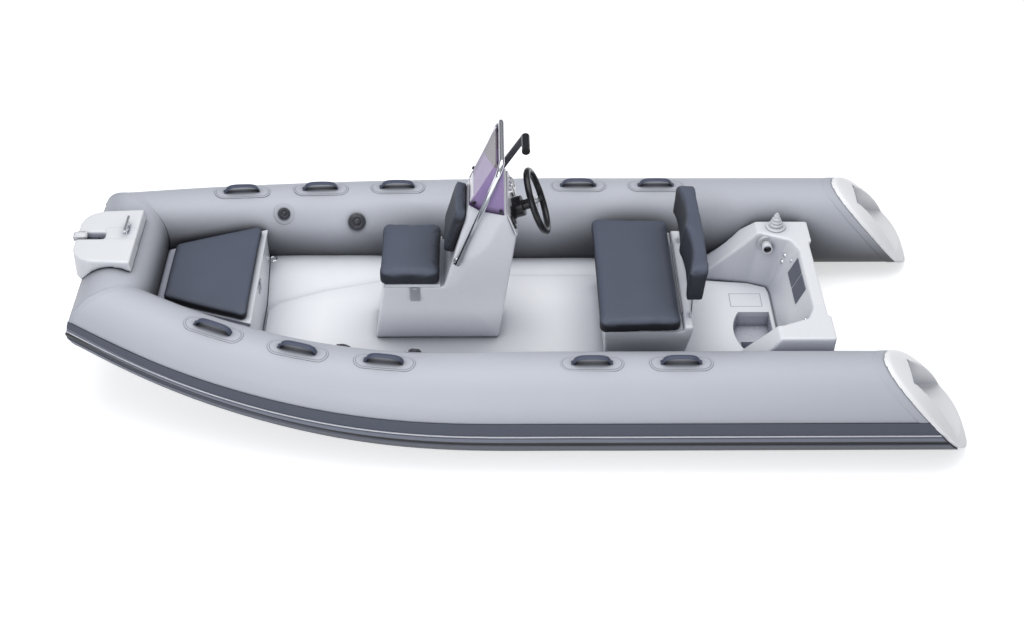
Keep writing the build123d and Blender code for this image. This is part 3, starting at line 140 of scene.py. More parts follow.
def new_finish(name, **constants):
    """Material with its shader's fixed sockets set; also its shader and place sockets."""
    material = bpy.data.materials.new(name)
    material.use_nodes = True
    shader = material.node_tree.nodes["Principled BSDF"]
    for socket, value in constants.items():
        shader.inputs[socket.replace("_", " ")].default_value = value
    place = Shade(material.node_tree).node("TexCoord", out="Object")
    return material, shader, place


def parts_of(place):
    return [place.node("SeparateXYZ", {}, {0: place}, out=axis) for axis in range(3)]


def noise(place, scale, detail=2.0, roughness=0.5):
    return place.node("TexNoise", {}, {"Vector": place, "Scale": scale, "Detail": detail,
                                       "Roughness": roughness})


def openness(place, reach, power=1.0):
    """1 on open surfaces, less where something close by shades them."""
    return place.node("AmbientOcclusion", {"samples": 12}, {"Distance": reach}, out="AO") ** power


def shaded(tone, open_part, shadow):
    """Colour that turns to a bluish shadow tone where the surface is closed in."""
    return open_part.mixed(shadow + (1.0,), tone)


def bumped(shader, height, distance):
    height.node("Bump", {}, {"Height": height, "Distance": distance,
                             "Strength": 1.0}).feeds(shader, "Normal")


def new_piece(name, mesh_maker, material, body="boat", smooth=True):
    """Object whose mesh comes from a bmesh; it rides on a CAD body."""
    mesh = bpy.data.meshes.new(name)
    mesh_maker.to_mesh(mesh)
    mesh_maker.free()
    piece = bpy.data.objects.new(name, mesh)
    bpy.context.scene.collection.objects.link(piece)
    if smooth:
        mesh.shade_smooth()
    mesh.materials.append(material)
    if body:
        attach(piece, body)
    return piece


floor_finish, floor_shader, place = new_finish("floor_white", Roughness=0.9, Specular_IOR_Level=0.0,
                                               Base_Color=(0.80, 0.80, 0.81, 1.0))
tree = floor_finish.node_tree
start = Shade(tree)
seen = start.node("LightPath", out="Is Camera Ray")
for kind in ("Is Glossy Ray", "Is Transmission Ray"):
    seen = seen.math("MAXIMUM", seen, start.node("LightPath", out=kind))
glow = start.node("Emission", {}, {"Color": (1.0, 1.0, 1.0, 1.0), "Strength": FLOOR_GLOW})
lifted = start.node("AddShader", {}, {0: Shade(tree, floor_shader.outputs[0]), 1: glow})
shown = start.node("MixShader", {}, {0: seen, 1: Shade(tree, floor_shader.outputs[0]), 2: lifted})
tree.links.new(shown.socket, tree.nodes["Material Output"].inputs["Surface"])
FLOOR_END = 60.0
WELL_AFT_X, WELL_FRONT_X, WELL_STARBOARD_Y, WELL_PORT_Y = -1.30, -1.05, -0.12, 0.25
sheet = bmesh.new()
for low_x, low_y, high_x, high_y in (
        (-FLOOR_END, -FLOOR_END, WELL_AFT_X, FLOOR_END),
        (WELL_FRONT_X, -FLOOR_END, FLOOR_END, FLOOR_END),
        (WELL_AFT_X, -FLOOR_END, WELL_FRONT_X, WELL_STARBOARD_Y),
        (WELL_AFT_X, WELL_PORT_Y, WELL_FRONT_X, FLOOR_END)):
    sheet.faces.new([sheet.verts.new((x, y, 0.0)) for x, y in
                     ((low_x, low_y), (high_x, low_y), (high_x, high_y), (low_x, high_y))])
floor = new_piece("floor", sheet, floor_finish, body=None, smooth=False)

world = bpy.data.worlds.new("sky")
bpy.context.scene.world = world
world.use_nodes = True
backdrop = world.node_tree.nodes["Background"]
sky_place = Shade(world.node_tree).node("TexCoord", out="Generated")
height = parts_of(sky_place)[2].clamped()
height.mixed((0.10, 0.11, 0.14, 1.0), (0.94, 0.96, 1.0, 1.0)).feeds(backdrop, "Color")
backdrop.inputs["Strength"].default_value = SKY_STRENGTH


def area_lamp(name, place, aim, size, watts, colour):
    lamp_data = bpy.data.lights.new(name, "AREA")
    lamp_data.shape = "RECTANGLE"
    lamp_data.size, lamp_data.size_y = size
    lamp_data.energy = watts
    lamp_data.color = colour
    lamp = bpy.data.objects.new(name, lamp_data)
    bpy.context.scene.collection.objects.link(lamp)
    lamp.location = place
    lamp.rotation_euler = (Vector(aim) - Vector(place)).to_track_quat("-Z", "Y").to_euler()


area_lamp("lamp_overhead", (0.2, -0.6, 5.5), (0.0, 0.1, 0.2), (7.0, 4.0), 200.0, (1.0, 1.0, 1.0))
area_lamp("lamp_port", (1.5, 6.0, 3.2), (0.0, 0.3, 0.3), (5.0, 3.0), 165.0, (0.96, 0.98, 1.0))


# ---- Tubes
# Three air chambers of coated fabric, glued from panels with taped seams. The big pair
# tapers and rises towards the bow, where a short cross tube joins it in two mitres.
tube_fabric, shader, place = new_finish("tube_fabric", Specular_IOR_Level=0.35)
mottle = noise(place, 3.0, 3.0)
weave = noise(place, 700.0, 2.0, 0.6)
tone = mottle.mixed((0.490, 0.508, 0.560, 1.0), (0.515, 0.533, 0.586, 1.0))
shaded(tone, openness(place, 0.42, 2.6), (0.004, 0.005, 0.008)).feeds(shader, "Base Color")
(0.40 + 0.12 * weave).feeds(shader, "Roughness")
bumped(shader, weave, 0.00015)
for name in ("tube_port", "tube_starboard", "tube_bow"):
    nodes[name].data.materials[0] = tube_fabric


TUBE_RADIUS, TAPER_START_X, TAPER_SLOPE, TAPER_BLEND = 0.225, 0.127, 0.013, 0.150
TUBE_AXIS_Y, PLAN_START_X, PLAN_ARC = 0.713, 0.311, 3.934
TUBE_AXIS_Z, SHEER_START_X, SHEER_ARC = 0.230, 0.200, 7.112
MITRE_X = 1.940


def arc_drop(x, start, radius):
    run = max(x - start, 0.0)
    return radius - sqrt(radius ** 2 - run ** 2)


def tube_radius(x):
    run = x - TAPER_START_X
    return TUBE_RADIUS - TAPER_SLOPE * (run + sqrt(run ** 2 + TAPER_BLEND ** 2))


def tube_frame(x):
    """Axis point, outboard and up directions and the way forward of the port tube."""
    run_in, run_up = max(x - PLAN_START_X, 0.0), max(x - SHEER_START_X, 0.0)
    along = Vector((1.0, -run_in / sqrt(PLAN_ARC ** 2 - run_in ** 2),
                    run_up / sqrt(SHEER_ARC ** 2 - run_up ** 2))).normalized()
    centre = Vector((x, TUBE_AXIS_Y - arc_drop(x, PLAN_START_X, PLAN_ARC),
                     TUBE_AXIS_Z + arc_drop(x, SHEER_START_X, SHEER_ARC)))
    outboard = Vector((0.0, 0.0, 1.0)).cross(along).normalized()
    return centre, outboard, along.cross(outboard), along


def tube_skin(x, angle, proud):
    """Point on the port tube's skin, its angle up from outboard in degrees."""
    centre, outboard, up, along = tube_frame(x)
    out = outboard * cos(radians(angle)) + up * sin(radians(angle))
    return centre + out * (tube_radius(x) + proud)


def both_ports(mesh_maker):
    """Adds the starboard twin of a port mesh."""
    bmesh.ops.mirror(mesh_maker, geom=mesh_maker.verts[:] + mesh_maker.edges[:] + mesh_maker.faces[:],
                     matrix=Matrix.Identity(4), merge_dist=-1.0, axis="Y")
    bmesh.ops.recalc_face_normals(mesh_maker, faces=mesh_maker.faces[:])
    return mesh_maker


def cut_x(z):
    """Where the slanted cut at the tubes' aft ends lies at a height."""
    return -0.4584 - sqrt(1.8925 ** 2 - (z + 1.0192) ** 2)


def ring_sheet(turns, rows, place_of):
    """Grid whose first side runs 0 to 1 round and second 0 to 1 across, set by place_of."""
    made = bmesh.new()
    bmesh.ops.create_grid(made, x_segments=turns, y_segments=rows, size=1.0)
    for vertex in made.verts:
        vertex.co = place_of((vertex.co.x + 1.0) / 2.0, (vertex.co.y + 1.0) / 2.0)
    bmesh.ops.remove_doubles(made, verts=made.verts[:], dist=1e-5)
    bmesh.ops.recalc_face_normals(made, faces=made.faces[:])
    return made


def joined(*makers):
    """One bmesh out of several."""
    whole = bmesh.new()
    for maker in makers:
        held = bpy.data.meshes.new("held")
        maker.to_mesh(held)
        maker.free()
        whole.from_mesh(held)
        bpy.data.meshes.remove(held)
    return whole


# Tape where the tube's end cone is glued on, ahead of each stern cap.
END_TAPE_WIDTH, MITRE_TAPE_HALF = 0.050, 0.018


def end_tape(turn, across):
    angle = 360.0 * turn
    height = TUBE_AXIS_Z + (TUBE_RADIUS + 0.0008) * sin(radians(angle))
    x = cut_x(height) + 0.001 + END_TAPE_WIDTH * across
    return tube_skin(x, angle, 0.0016 if 0.02 < across < 0.98 else -0.0006)


tape_finish, shader, place = new_finish("seam_tape", Specular_IOR_Level=0.35)
tone = noise(place, 3.0, 3.0).mixed((0.470, 0.488, 0.540, 1.0), (0.495, 0.513, 0.566, 1.0))
shaded(tone, openness(place, 0.42, 2.6), (0.004, 0.005, 0.008)).feeds(shader, "Base Color")
(0.42 + 0.12 * noise(place, 700.0, 2.0, 0.6)).feeds(shader, "Roughness")
tapes = new_piece("end_tapes", both_ports(ring_sheet(144, 8, end_tape)), tape_finish)


# Tape over the two mitres at the bow.
def mitre_tape(turn, across):
    centre, outboard, up, along = tube_frame(MITRE_X)
    inboard = Vector((0.0, -1.0, 0.0))
    normal = (along + inboard).normalized()
    angle = radians(360.0 * turn)
    out = outboard * cos(angle) + up * sin(angle)
    start = centre + out * (tube_radius(MITRE_X) + (0.0012 if 0.02 < across < 0.98 else -0.0005))
    on_cut = start - along * (start - centre).dot(normal) / along.dot(normal)
    if across <= 0.5:
        return on_cut - along * MITRE_TAPE_HALF * (1.0 - 2.0 * across)
    return on_cut + inboard * MITRE_TAPE_HALF * (2.0 * across - 1.0)


mitres = new_piece("mitre_tapes", both_ports(ring_sheet(128, 8, mitre_tape)), tape_finish)


# ---- Handle patches and valves
# Each grab strap stands on an oval fabric patch with a moulded double edge, and each
# inflation valve sits in a glued disc.
def oval_rings(half_length, rings):
    """Flat oval out of rings: (edge radius, height) pairs from the rim inwards."""
    def place_of(turn, across):
        radius, height = rings[round(across * (len(rings) - 1))]
        angle = 2.0 * pi * turn
        end = half_length if cos(angle) >= 0 else -half_length
        if abs(cos(angle)) < 0.02:
            end = half_length * cos(angle) / 0.02
        return Vector((end + radius * cos(angle), radius * sin(angle), height))
    return ring_sheet(96, len(rings) - 1, place_of)


def laid_on_tube(flat, x, angle):
    """Wraps a flat mesh on the port tube: its x along the tube, its y round it."""
    for vertex in flat.verts:
        station = x + vertex.co.x * tube_frame(x)[3].x
        turn = angle - degrees(vertex.co.y / tube_radius(x))
        vertex.co = tube_skin(station, turn, vertex.co.z)
    bmesh.ops.recalc_face_normals(flat, faces=flat.faces[:])
    return flat


PATCH_RINGS = [(0.0500, -0.0006), (0.0496, 0.0016), (0.0480, 0.0022), (0.0420, 0.0022),
               (0.0408, 0.0012), (0.0396, 0.0012), (0.0384, 0.0030), (0.0366, 0.0034),
               (0.0200, 0.0032), (0.0, 0.0032)]
HANDLE_STATIONS = [1.454, 1.055, 0.649, -0.309, -0.716]
patches = joined(*[laid_on_tube(oval_rings(0.096, PATCH_RINGS), x, 90.0) for x in HANDLE_STATIONS])
patch_piece = new_piece("handle_patches", both_ports(patches), tape_finish)


VALVE_RINGS = [(0.0, 0.0145), (0.012, 0.0145), (0.0125, 0.0125), (0.0160, 0.0125), (0.0165, 0.0165),
               (0.0200, 0.0165), (0.0215, 0.0150), (0.0222, 0.0105), (0.0285, 0.0090),
               (0.0302, 0.0070), (0.0305, 0.0010)]
rubber_black, shader, place = new_finish("valve_black", Specular_IOR_Level=0.5)
grain = noise(place, 260.0, 3.0)
tone = grain.mixed((0.030, 0.032, 0.040, 1.0), (0.060, 0.064, 0.078, 1.0))
tone.times(openness(place, 0.02, 0.8)).feeds(shader, "Base Color")
(0.32 + 0.22 * grain).feeds(shader, "Roughness")
bumped(shader, grain, 0.0003)


def turned(rings, scale, segments=48):
    """Round body spun from (radius, height) pairs, its axis along z."""
    made = bmesh.new()
    points = [made.verts.new((radius * scale, 0.0, height)) for radius, height in rings]
    for one, other in zip(points, points[1:]):
        made.edges.new((one, other))
    bmesh.ops.spin(made, geom=made.verts[:] + made.edges[:], cent=(0, 0, 0), axis=(0, 0, 1),
                   angle=2 * pi, steps=segments, use_merge=True)
    bmesh.ops.remove_doubles(made, verts=made.verts[:], dist=1e-6)
    bmesh.ops.recalc_face_normals(made, faces=made.faces[:])
    return made


def stood_on(made, origin, out, side):
    """Turns a mesh made about z so that z points out and x along side."""
    out = out.normalized()
    side = (side - out * side.dot(out)).normalized()
    basis = Matrix((side, out.cross(side), out)).transposed().to_4x4()
    bmesh.ops.transform(made, matrix=Matrix.Translation(origin) @ basis, verts=made.verts[:])
    return made


def box_bar(size, place, turn=0.0):
    """Small bar with softened edges, centred at a place, turned about z in degrees."""
    made = bmesh.new()
    bmesh.ops.create_cube(made, size=1.0)
    bmesh.ops.scale(made, vec=size, verts=made.verts[:])
    bmesh.ops.bevel(made, geom=made.edges[:], offset=min(size) * 0.22, offset_type="OFFSET",
                    segments=2, profile=0.5, affect="EDGES", material=-1)
    bmesh.ops.transform(made, matrix=Matrix.Rotation(radians(turn), 4, "Z")
                        @ Matrix.Translation(place), verts=made.verts[:])
    return made


def valve_body(x, angle, radius, ribs):
    """Valve on the port tube's inboard face: turned cap, ribs round it and a grip bar."""
    centre, outboard, up, along = tube_frame(x)
    out = outboard * -cos(radians(angle)) + up * sin(radians(angle))
    scale = radius / VALVE_RINGS[-1][0]
    parts = [turned(VALVE_RINGS, scale)]
    for step in range(ribs):
        parts.append(box_bar((0.008 * scale, 0.0035 * scale, 0.003), (0.0255 * scale, 0.0, 0.0095),
                             360.0 * step / ribs))
    parts.append(box_bar((0.020 * scale, 0.0045 * scale, 0.004), (0.0, 0.0, 0.0155)))
    return stood_on(joined(*parts), centre + out * tube_radius(x), out, along)


def to_starboard(made):
    """Turns a port mesh into its starboard twin."""
    bmesh.ops.scale(made, vec=(1.0, -1.0, 1.0), verts=made.verts[:])
    bmesh.ops.recalc_face_normals(made, faces=made.faces[:])
    return made


# Station, angle up the inboard face, radius and ribs: a filling valve with its disc first.
STARBOARD_VALVES = [(1.262, 46.0, 0.0305, 12), (0.878, 33.0, 0.0440, 8)]
PORT_VALVES = [(0.520, 46.0, 0.0305, 12), (0.878, 26.0, 0.0440, 8)]
caps = [to_starboard(valve_body(*row)) for row in STARBOARD_VALVES]
caps += [valve_body(*row) for row in PORT_VALVES]
valves = new_piece("valve_caps", joined(*caps), rubber_black)
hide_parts("tube_valves")
DISC_RINGS = [(0.0, 0.0016), (0.030, 0.0016), (0.050, 0.0016), (0.0536, 0.0014), (0.0540, -0.0006)]
discs = []
for rows, turn_over in ((STARBOARD_VALVES, to_starboard), (PORT_VALVES, lambda made: made)):
    x, angle = rows[0][:2]
    disc = turned(DISC_RINGS, 1.0, 64)
    bmesh.ops.subdivide_edges(disc, edges=disc.edges[:], cuts=1, use_grid_fill=True)
    discs.append(turn_over(laid_on_tube(disc, x, 180.0 - angle)))
valve_discs = new_piece("valve_discs", joined(*discs), tape_finish)


# ---- Grab straps
# Arched straps of moulded rubber, thicker in the middle where a hand holds them, with
# flat feet that are bonded into the patches.
strap_rubber, shader, place = new_finish("strap_rubber", Specular_IOR_Level=0.45)
ribbing = noise(place, 420.0, 2.0)
tone = noise(place, 30.0, 3.0).mixed((0.058, 0.070, 0.112, 1.0), (0.072, 0.085, 0.132, 1.0))
tone.times(openness(place, 0.05, 0.9)).feeds(shader, "Base Color")
(0.42 + 0.15 * ribbing).feeds(shader, "Roughness")
bumped(shader, ribbing, 0.0003)
STRAP_END, STRAP_HALF, STRAP_THICK = 0.089, 0.0170, 0.0065
STRAP_LINE = [(-STRAP_END, 0.000), (-0.086, 0.012), (-0.079, 0.024), (-0.066, 0.033), (-0.048, 0.038),
              (-0.024, 0.0395), (0.0, 0.040)]
STRAP_SECTION = [(-1, 0.5), (-0.86, 0.0), (0.86, 0.0), (1, 0.5), (0.86, 1.0), (-0.86, 1.0)]


def strap(x):
    """One strap: a flat section swept over its arch, with feet spread on the patch."""
    centre, outboard, up, along = tube_frame(x)
    crest = centre + up * tube_radius(x)
    line = STRAP_LINE + [(-a, h) for a, h in reversed(STRAP_LINE[:-1])]
    made = bmesh.new()
    rings = []
    for number, (a, h) in enumerate(line):
        before, after = line[max(number - 1, 0)], line[min(number + 1, len(line) - 1)]
        run = Vector((after[0] - before[0], after[1] - before[1])).normalized()
        back = Vector((-run.y, run.x))
        half = STRAP_HALF - 0.0020 * (1 - abs(a) / STRAP_END)
        thick = STRAP_THICK + 0.0010 * (1 - abs(a) / STRAP_END)
        ring = []
        for across, depth in STRAP_SECTION:
            off = back * -depth * thick
            ring.append(made.verts.new(crest + along * (a + off.x) + up * (h + off.y)
                                       + outboard * across * half))
        rings.append(ring)
    for one, other in zip(rings, rings[1:]):
        edges = [made.edges.get((v, w)) or made.edges.new((v, w))
                 for ring in (one, other) for v, w in zip(ring, ring[1:] + ring[:1])]
        bmesh.ops.bridge_loops(made, edges=edges)
    for ring in (rings[0], rings[-1]):
        made.faces.new(ring)
    bmesh.ops.recalc_face_normals(made, faces=made.faces[:])
    for end in (-1, 1):
        for size, out, height in (((0.020, 0.030, 0.004), 0.085, 0.003),
                                  ((0.0012, 0.022, 0.0012), 0.079, 0.0055)):
            bar = box_bar(size, (0.0, 0.0, 0.0))
            stood_on(bar, crest + along * end * out + up * height, up, along)
            made = joined(made, bar)
    return made


straps = new_piece("grab_straps", both_ports(joined(*[strap(x) for x in HANDLE_STATIONS])),
                   strap_rubber)
smooth = straps.modifiers.new("rounding", "SUBSURF")
smooth.levels = smooth.render_levels = 1
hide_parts("grab_handles")


# ---- Rub strake
# One long rubber extrusion in three lengths, glued along the tubes' outer side: a flat
# upper band, a raised bead, a groove and a broad lower band, with a white cord let in.
def strake_finish(name, height_of, radius_of):
    material, shader, place = new_finish(name, Specular_IOR_Level=0.5)
    x, y, z = parts_of(place)
    share = (z - height_of(x)) / radius_of(x)  # height from the tube's axis over its radius
    grain = noise(place, 320.0, 2.0)
    upper, bead = share.above(-0.112, 0.004), share.above(-0.240, 0.010)
    groove = share.above(-0.352, 0.012)
    # Painted light by height: the groove is painted near black as painted shade, and the raised bead pale
    # grey as a painted highlight.
    low = grain.mixed((0.086, 0.096, 0.132, 1.0), (0.102, 0.114, 0.152, 1.0))
    groove_shade = grain.mixed((0.006, 0.006, 0.008, 1.0), (0.010, 0.010, 0.013, 1.0))
    grey = grain.mixed((0.165, 0.180, 0.232, 1.0), (0.195, 0.210, 0.265, 1.0))
    flat = grain.mixed((0.054, 0.063, 0.094, 1.0), (0.068, 0.078, 0.112, 1.0))
    tone = upper.mixed(bead.mixed(groove.mixed(low, groove_shade), grey), flat)
    tone.times(openness(place, 0.3, 0.6)).feeds(shader, "Base Color")
    (0.38 + 0.16 * grain).feeds(shader, "Roughness")
    bumped(shader, grain, 0.0003)
    return material


STRAKE_PROUD = 0.010


def sheer_height(x):
    run = (x - SHEER_START_X).math("MAXIMUM", x - SHEER_START_X, 0.0)
    return TUBE_AXIS_Z + SHEER_ARC - (SHEER_ARC ** 2 - run * run) ** 0.5


def side_radius(x):
    run = x - TAPER_START_X
    return TUBE_RADIUS - TAPER_SLOPE * (run + (run * run + TAPER_BLEND ** 2) ** 0.5) + STRAKE_PROUD


side_rubber = strake_finish("strake_rubber", sheer_height, side_radius)
nodes["rub_strake_port"].data.materials[0] = side_rubber
nodes["rub_strake_starboard"].data.materials[0] = side_rubber
nodes["rub_strake_bow"].data.materials[0] = strake_finish(
    "bow_strake_rubber", lambda x: tube_frame(MITRE_X)[0].z, lambda x: tube_radius(MITRE_X) + STRAKE_PROUD)
piping_rubber, shader, place = new_finish("piping_rubber", Specular_IOR_Level=0.5)
wear = noise(place, 40.0, 3.0)
wear.mixed((0.66, 0.67, 0.71, 1.0), (0.76, 0.77, 0.80, 1.0)).feeds(shader, "Base Color")
(0.35 + 0.15 * wear).feeds(shader, "Roughness")
for name in ("strake_piping_port", "strake_piping_starboard", "strake_piping_bow"):
    nodes[name].data.materials[0] = piping_rubber


# ---- Stern caps
# One moulded plastic cap closes each tube's end, its edges softly rounded, with a
# boarding step sunk into it. The CAD cap is remeshed and smoothed into one skin. The
# recess's front wall lies square to the boat, so its place picks it out for a painted
# shade of deep slate.
WALL_X, WALL_FOOT_Z, WALL_HALF = -1.778, 0.240, 0.086
cap_plastic, shader, place = new_finish("cap_plastic", Specular_IOR_Level=0.5, Coat_Roughness=0.2)
pebble = noise(place, 500.0, 2.0)
tone = noise(place, 4.0, 3.0).mixed((0.96, 0.96, 0.965, 1.0), (0.98, 0.98, 0.985, 1.0))
x, y, z = parts_of(place)
# Painted shade: the recess's front wall, found by its place, is mixed to deep slate.
wall = 1.0 - (x - WALL_X).size().above(0.0075, 0.005)
wall = wall * z.above(WALL_FOOT_Z, 0.012) * (1.0 - (y.size() - TUBE_AXIS_Y).size().above(WALL_HALF, 0.010))
tone = wall.mixed(tone, (0.24, 0.27, 0.35, 1.0))
shaded(tone, openness(place, 0.10, 1.4), (0.16, 0.18, 0.25)).feeds(shader, "Base Color")
(0.34 + 0.12 * pebble).feeds(shader, "Roughness")
bumped(shader, pebble, 0.0002)
slot_of = {row["node"]: row["material_slot"] for row in frame["record"]["subparts"]}


def applied(piece, kind, **settings):
    """Gives a piece the mesh that one modifier makes of it."""
    change = piece.modifiers.new("change", kind)
    for name, value in settings.items():
        setattr(change, name, value)
    bpy.context.view_layer.update()
    shape = bpy.data.meshes.new_from_object(piece.evaluated_get(bpy.context.evaluated_depsgraph_get()))
    piece.modifiers.clear()
    piece.data = shape


def eased(mesh, rounds):
    """Smooths a mesh by moving each corner half way to its neighbours' middle."""
    made = bmesh.new()
    made.from_mesh(mesh)
    for _ in range(rounds):
        bmesh.ops.smooth_vert(made, verts=made.verts[:], factor=0.5, use_axis_x=True,
                              use_axis_y=True, use_axis_z=True)
    made.to_mesh(mesh)
    made.free()


def remeshed(name, node, voxel, material, factor=None):
    """Copy of a CAD node, scaled about its middle, with an even mesh. It replaces the node."""
    mesh = nodes[node].data.copy()
    made = bmesh.new()
    made.from_mesh(mesh)
    bmesh.ops.remove_doubles(made, verts=made.verts[:], dist=1e-5)
    if factor:
        low, high = (Vector(corner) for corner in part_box(node))
        middle = (low + high) / 2.0
        bmesh.ops.translate(made, vec=-middle, verts=made.verts[:])
        bmesh.ops.scale(made, vec=factor, verts=made.verts[:])
        bmesh.ops.translate(made, vec=middle, verts=made.verts[:])
    made.to_mesh(mesh)
    made.free()
    piece = bpy.data.objects.new(name, mesh)
    bpy.context.scene.collection.objects.link(piece)
    mesh.materials.clear()
    mesh.materials.append(material)
    applied(piece, "REMESH", mode="VOXEL", voxel_size=voxel)
    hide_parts(node)
    return piece


def softened(name, node, voxel, rounds, material):
    """Copy of a CAD node with its edges rounded off by an even remesh and smoothing."""
    piece = remeshed(name, node, voxel, material)
    eased(piece.data, rounds)
    applied(piece, "DECIMATE", ratio=0.45)
    piece.data.shade_smooth()
    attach(piece, "boat")
    return piece


softened("stern_cap_skins", "stern_caps", 0.0040, 6, cap_plastic)


# ---- Cushions
# Foam pads in coated cover cloth, cut as a top, a bottom and a side band that are sewn
# together, so that the air in them rounds the faces and the seams pull the edges in.
cover_cloth, shader, place = new_finish("cushion_cover", Specular_IOR_Level=0.4)
pebble = place.node("TexVoronoi", {"feature": "F1"}, {"Vector": place, "Scale": 520.0})
crease = noise(place, 14.0, 4.0, 0.55)
tone = noise(place, 5.0, 3.0).mixed((0.072, 0.084, 0.120, 1.0), (0.088, 0.102, 0.142, 1.0))
# Painted shade: by the face's own direction, faces that turn from up to the side are darkened down to 0.26
# of the top's colour.
level = parts_of(place.node("TexCoord", out="Normal"))[2]
side = 0.26 + 0.74 * level.above(0.40, 0.6)
tone.times(openness(place, 0.22, 1.3) * side).feeds(shader, "Base Color")
(0.50 + 0.14 * pebble).feeds(shader, "Roughness")
bumped(shader, pebble * 0.35 + crease * 0.9, 0.0008)


def cushion_start(name, node, inset, voxel, body):
    """Copy of a plain CAD pad, made a little smaller and remeshed evenly."""
    low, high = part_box(node)
    factor = Vector([1.0 - 2.0 * inset / (top - bottom) for bottom, top in zip(low, high)])
    piece = remeshed(name, node, voxel, cover_cloth, factor)
    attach(piece, body)
    return piece


# Name, node, body, inset, voxel, furthest swell, fill. The air may swell each pad past its
# inset start by no more than the swell.
CUSHIONS = [
    ("bow_pad", "bow_cushion", "bow_lid", 0.004, 0.0055, 0.007, 0.85),
    ("console_seat_pad", "console_seat_cushion", "console_seat", 0.006, 0.005, 0.010, 0.8),
    ("console_back_pad", "console_backrest_cushion", "boat", 0.004, 0.004, 0.007, 0.8),
    ("rear_seat_pad", "rear_cushion", "rear_seat", 0.006, 0.006, 0.010, 0.8),
    ("rear_back_pad", "rear_backrest", "boat", 0.004, 0.005, 0.008, 0.85),
]
pads = [cushion_start(name, node, inset, voxel, body)
        for name, node, body, inset, voxel, swell, fill in CUSHIONS]
starts = [[vertex.co.copy() for vertex in pad.data.vertices] for pad in pads]
for pad in pads:
    cloth = pad.modifiers.new("air", "CLOTH")
    cloth.settings.use_pressure = True
    cloth.settings.uniform_pressure_force = 4.0
    cloth.settings.effector_weights.gravity = 0.0
    cloth.settings.quality = 5
    cloth.collision_settings.use_collision = False
for moment in range(1, 21):
    bpy.context.scene.frame_set(moment)
view = bpy.context.evaluated_depsgraph_get()
swollen = [bpy.data.meshes.new_from_object(pad.evaluated_get(view)) for pad in pads]
for pad, shape, start, row in zip(pads, swollen, starts, CUSHIONS):
    limit = row[5]
    for vertex, was in zip(shape.vertices, start):
        move = vertex.co - was
        if move.length > 1e-6:
            vertex.co = was + move.normalized() * limit * (1.0 - exp(-move.length / limit))
    pad.modifiers.clear()
    pad.data = shape
bpy.context.scene.frame_set(1)
for pad in pads:
    eased(pad.data, 3)
BOW_PAD_BULGE = Vector((0.008, 0.007))
low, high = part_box("bow_cushion")
for vertex in pads[0].data.vertices:
    run = (vertex.co.x - low[0]) / (high[0] - low[0])
    side = 1.0 if vertex.co.y > 0.0 else -1.0
    vertex.co.x += BOW_PAD_BULGE.x * cos(pi * vertex.co.y / (high[1] - low[1])) * max(0.0, run)
    vertex.co.y += side * BOW_PAD_BULGE.y * sin(pi * min(max(run, 0.0), 1.0))
for pad, row in zip(pads, CUSHIONS):
    if row[0] in ("bow_pad", "console_seat_pad", "rear_seat_pad"):
        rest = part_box(row[1])[0][2] + 0.0004
        for vertex in pad.data.vertices:
            vertex.co.z = max(vertex.co.z, rest)
    pad.data.shade_smooth()


# ---- Hull
# Hollow glass-fibre bottom laid up in a mould, white gelcoat outside. The tubes are
# glued along its top edge, and most of it is under water.
def gelcoat(name, low, high, reach, power, roughness, **constants):
    """White moulded finish, shaded in its corners, with a trace of orange peel."""
    material, shader, place = new_finish(name, **constants)
    tone = noise(place, 2.5, 3.0).mixed(low + (1.0,), high + (1.0,))
    grain = noise(place, 130.0, 2.0)
    tone = shaded(tone, openness(place, reach, power), (0.22, 0.24, 0.32))
    tone.times(openness(place, 0.025, 0.4)).feeds(shader, "Base Color")
    (roughness + 0.10 * grain).feeds(shader, "Roughness")
    bumped(shader, grain, 0.00015)
    return material


HULL_WHITE = ((0.74, 0.75, 0.78), (0.79, 0.80, 0.83))
nodes["hull"].data.materials[0] = gelcoat("hull_gelcoat", *HULL_WHITE, 0.30, 0.9, 0.22,
                                          Coat_Weight=0.25)


# ---- Cockpit sole
# Moulded glass-fibre liner bonded into the hull, with a raised panel of fine non-slip
# let in amidships and a small flush hatch aft, beside the bilge well.
def lid_groove(place, middle, half, width, soft):
    """1 in the narrow gap round a flush rectangular lid, seen from above, else 0."""
    x, y, z = parts_of(place)
    off_x, off_y = (x - middle[0]).size() - half[0], (y - middle[1]).size() - half[1]
    return 1.0 - off_x.math("MAXIMUM", off_x, off_y).size().above(width, soft)


HATCH_PLACE, HATCH_HALF = (-1.155, -0.178), (0.080, 0.052)
deck_finish, shader, place = new_finish("deck_non_slip", Specular_IOR_Level=0.4)
pebble = place.node("TexVoronoi", {"feature": "F1"}, {"Vector": place, "Scale": 420.0})
groove = lid_groove(place, HATCH_PLACE, HATCH_HALF, 0.0016, 0.0012)
tone = noise(place, 2.0, 3.0).mixed((0.90, 0.91, 0.93, 1.0), (0.93, 0.94, 0.96, 1.0))
tone = groove.mixed(tone, (0.35, 0.36, 0.40, 1.0))
tone = shaded(tone, openness(place, 0.30, 0.8), (0.26, 0.28, 0.36))
tone.times(openness(place, 0.05, 0.35)).feeds(shader, "Base Color")
(0.46 + 0.16 * pebble).feeds(shader, "Roughness")
bumped(shader, pebble - groove * 3.0, 0.0003)
nodes["deck_liner"].data.materials[0] = deck_finish
nodes["sole_panel"].data.materials[0] = deck_finish


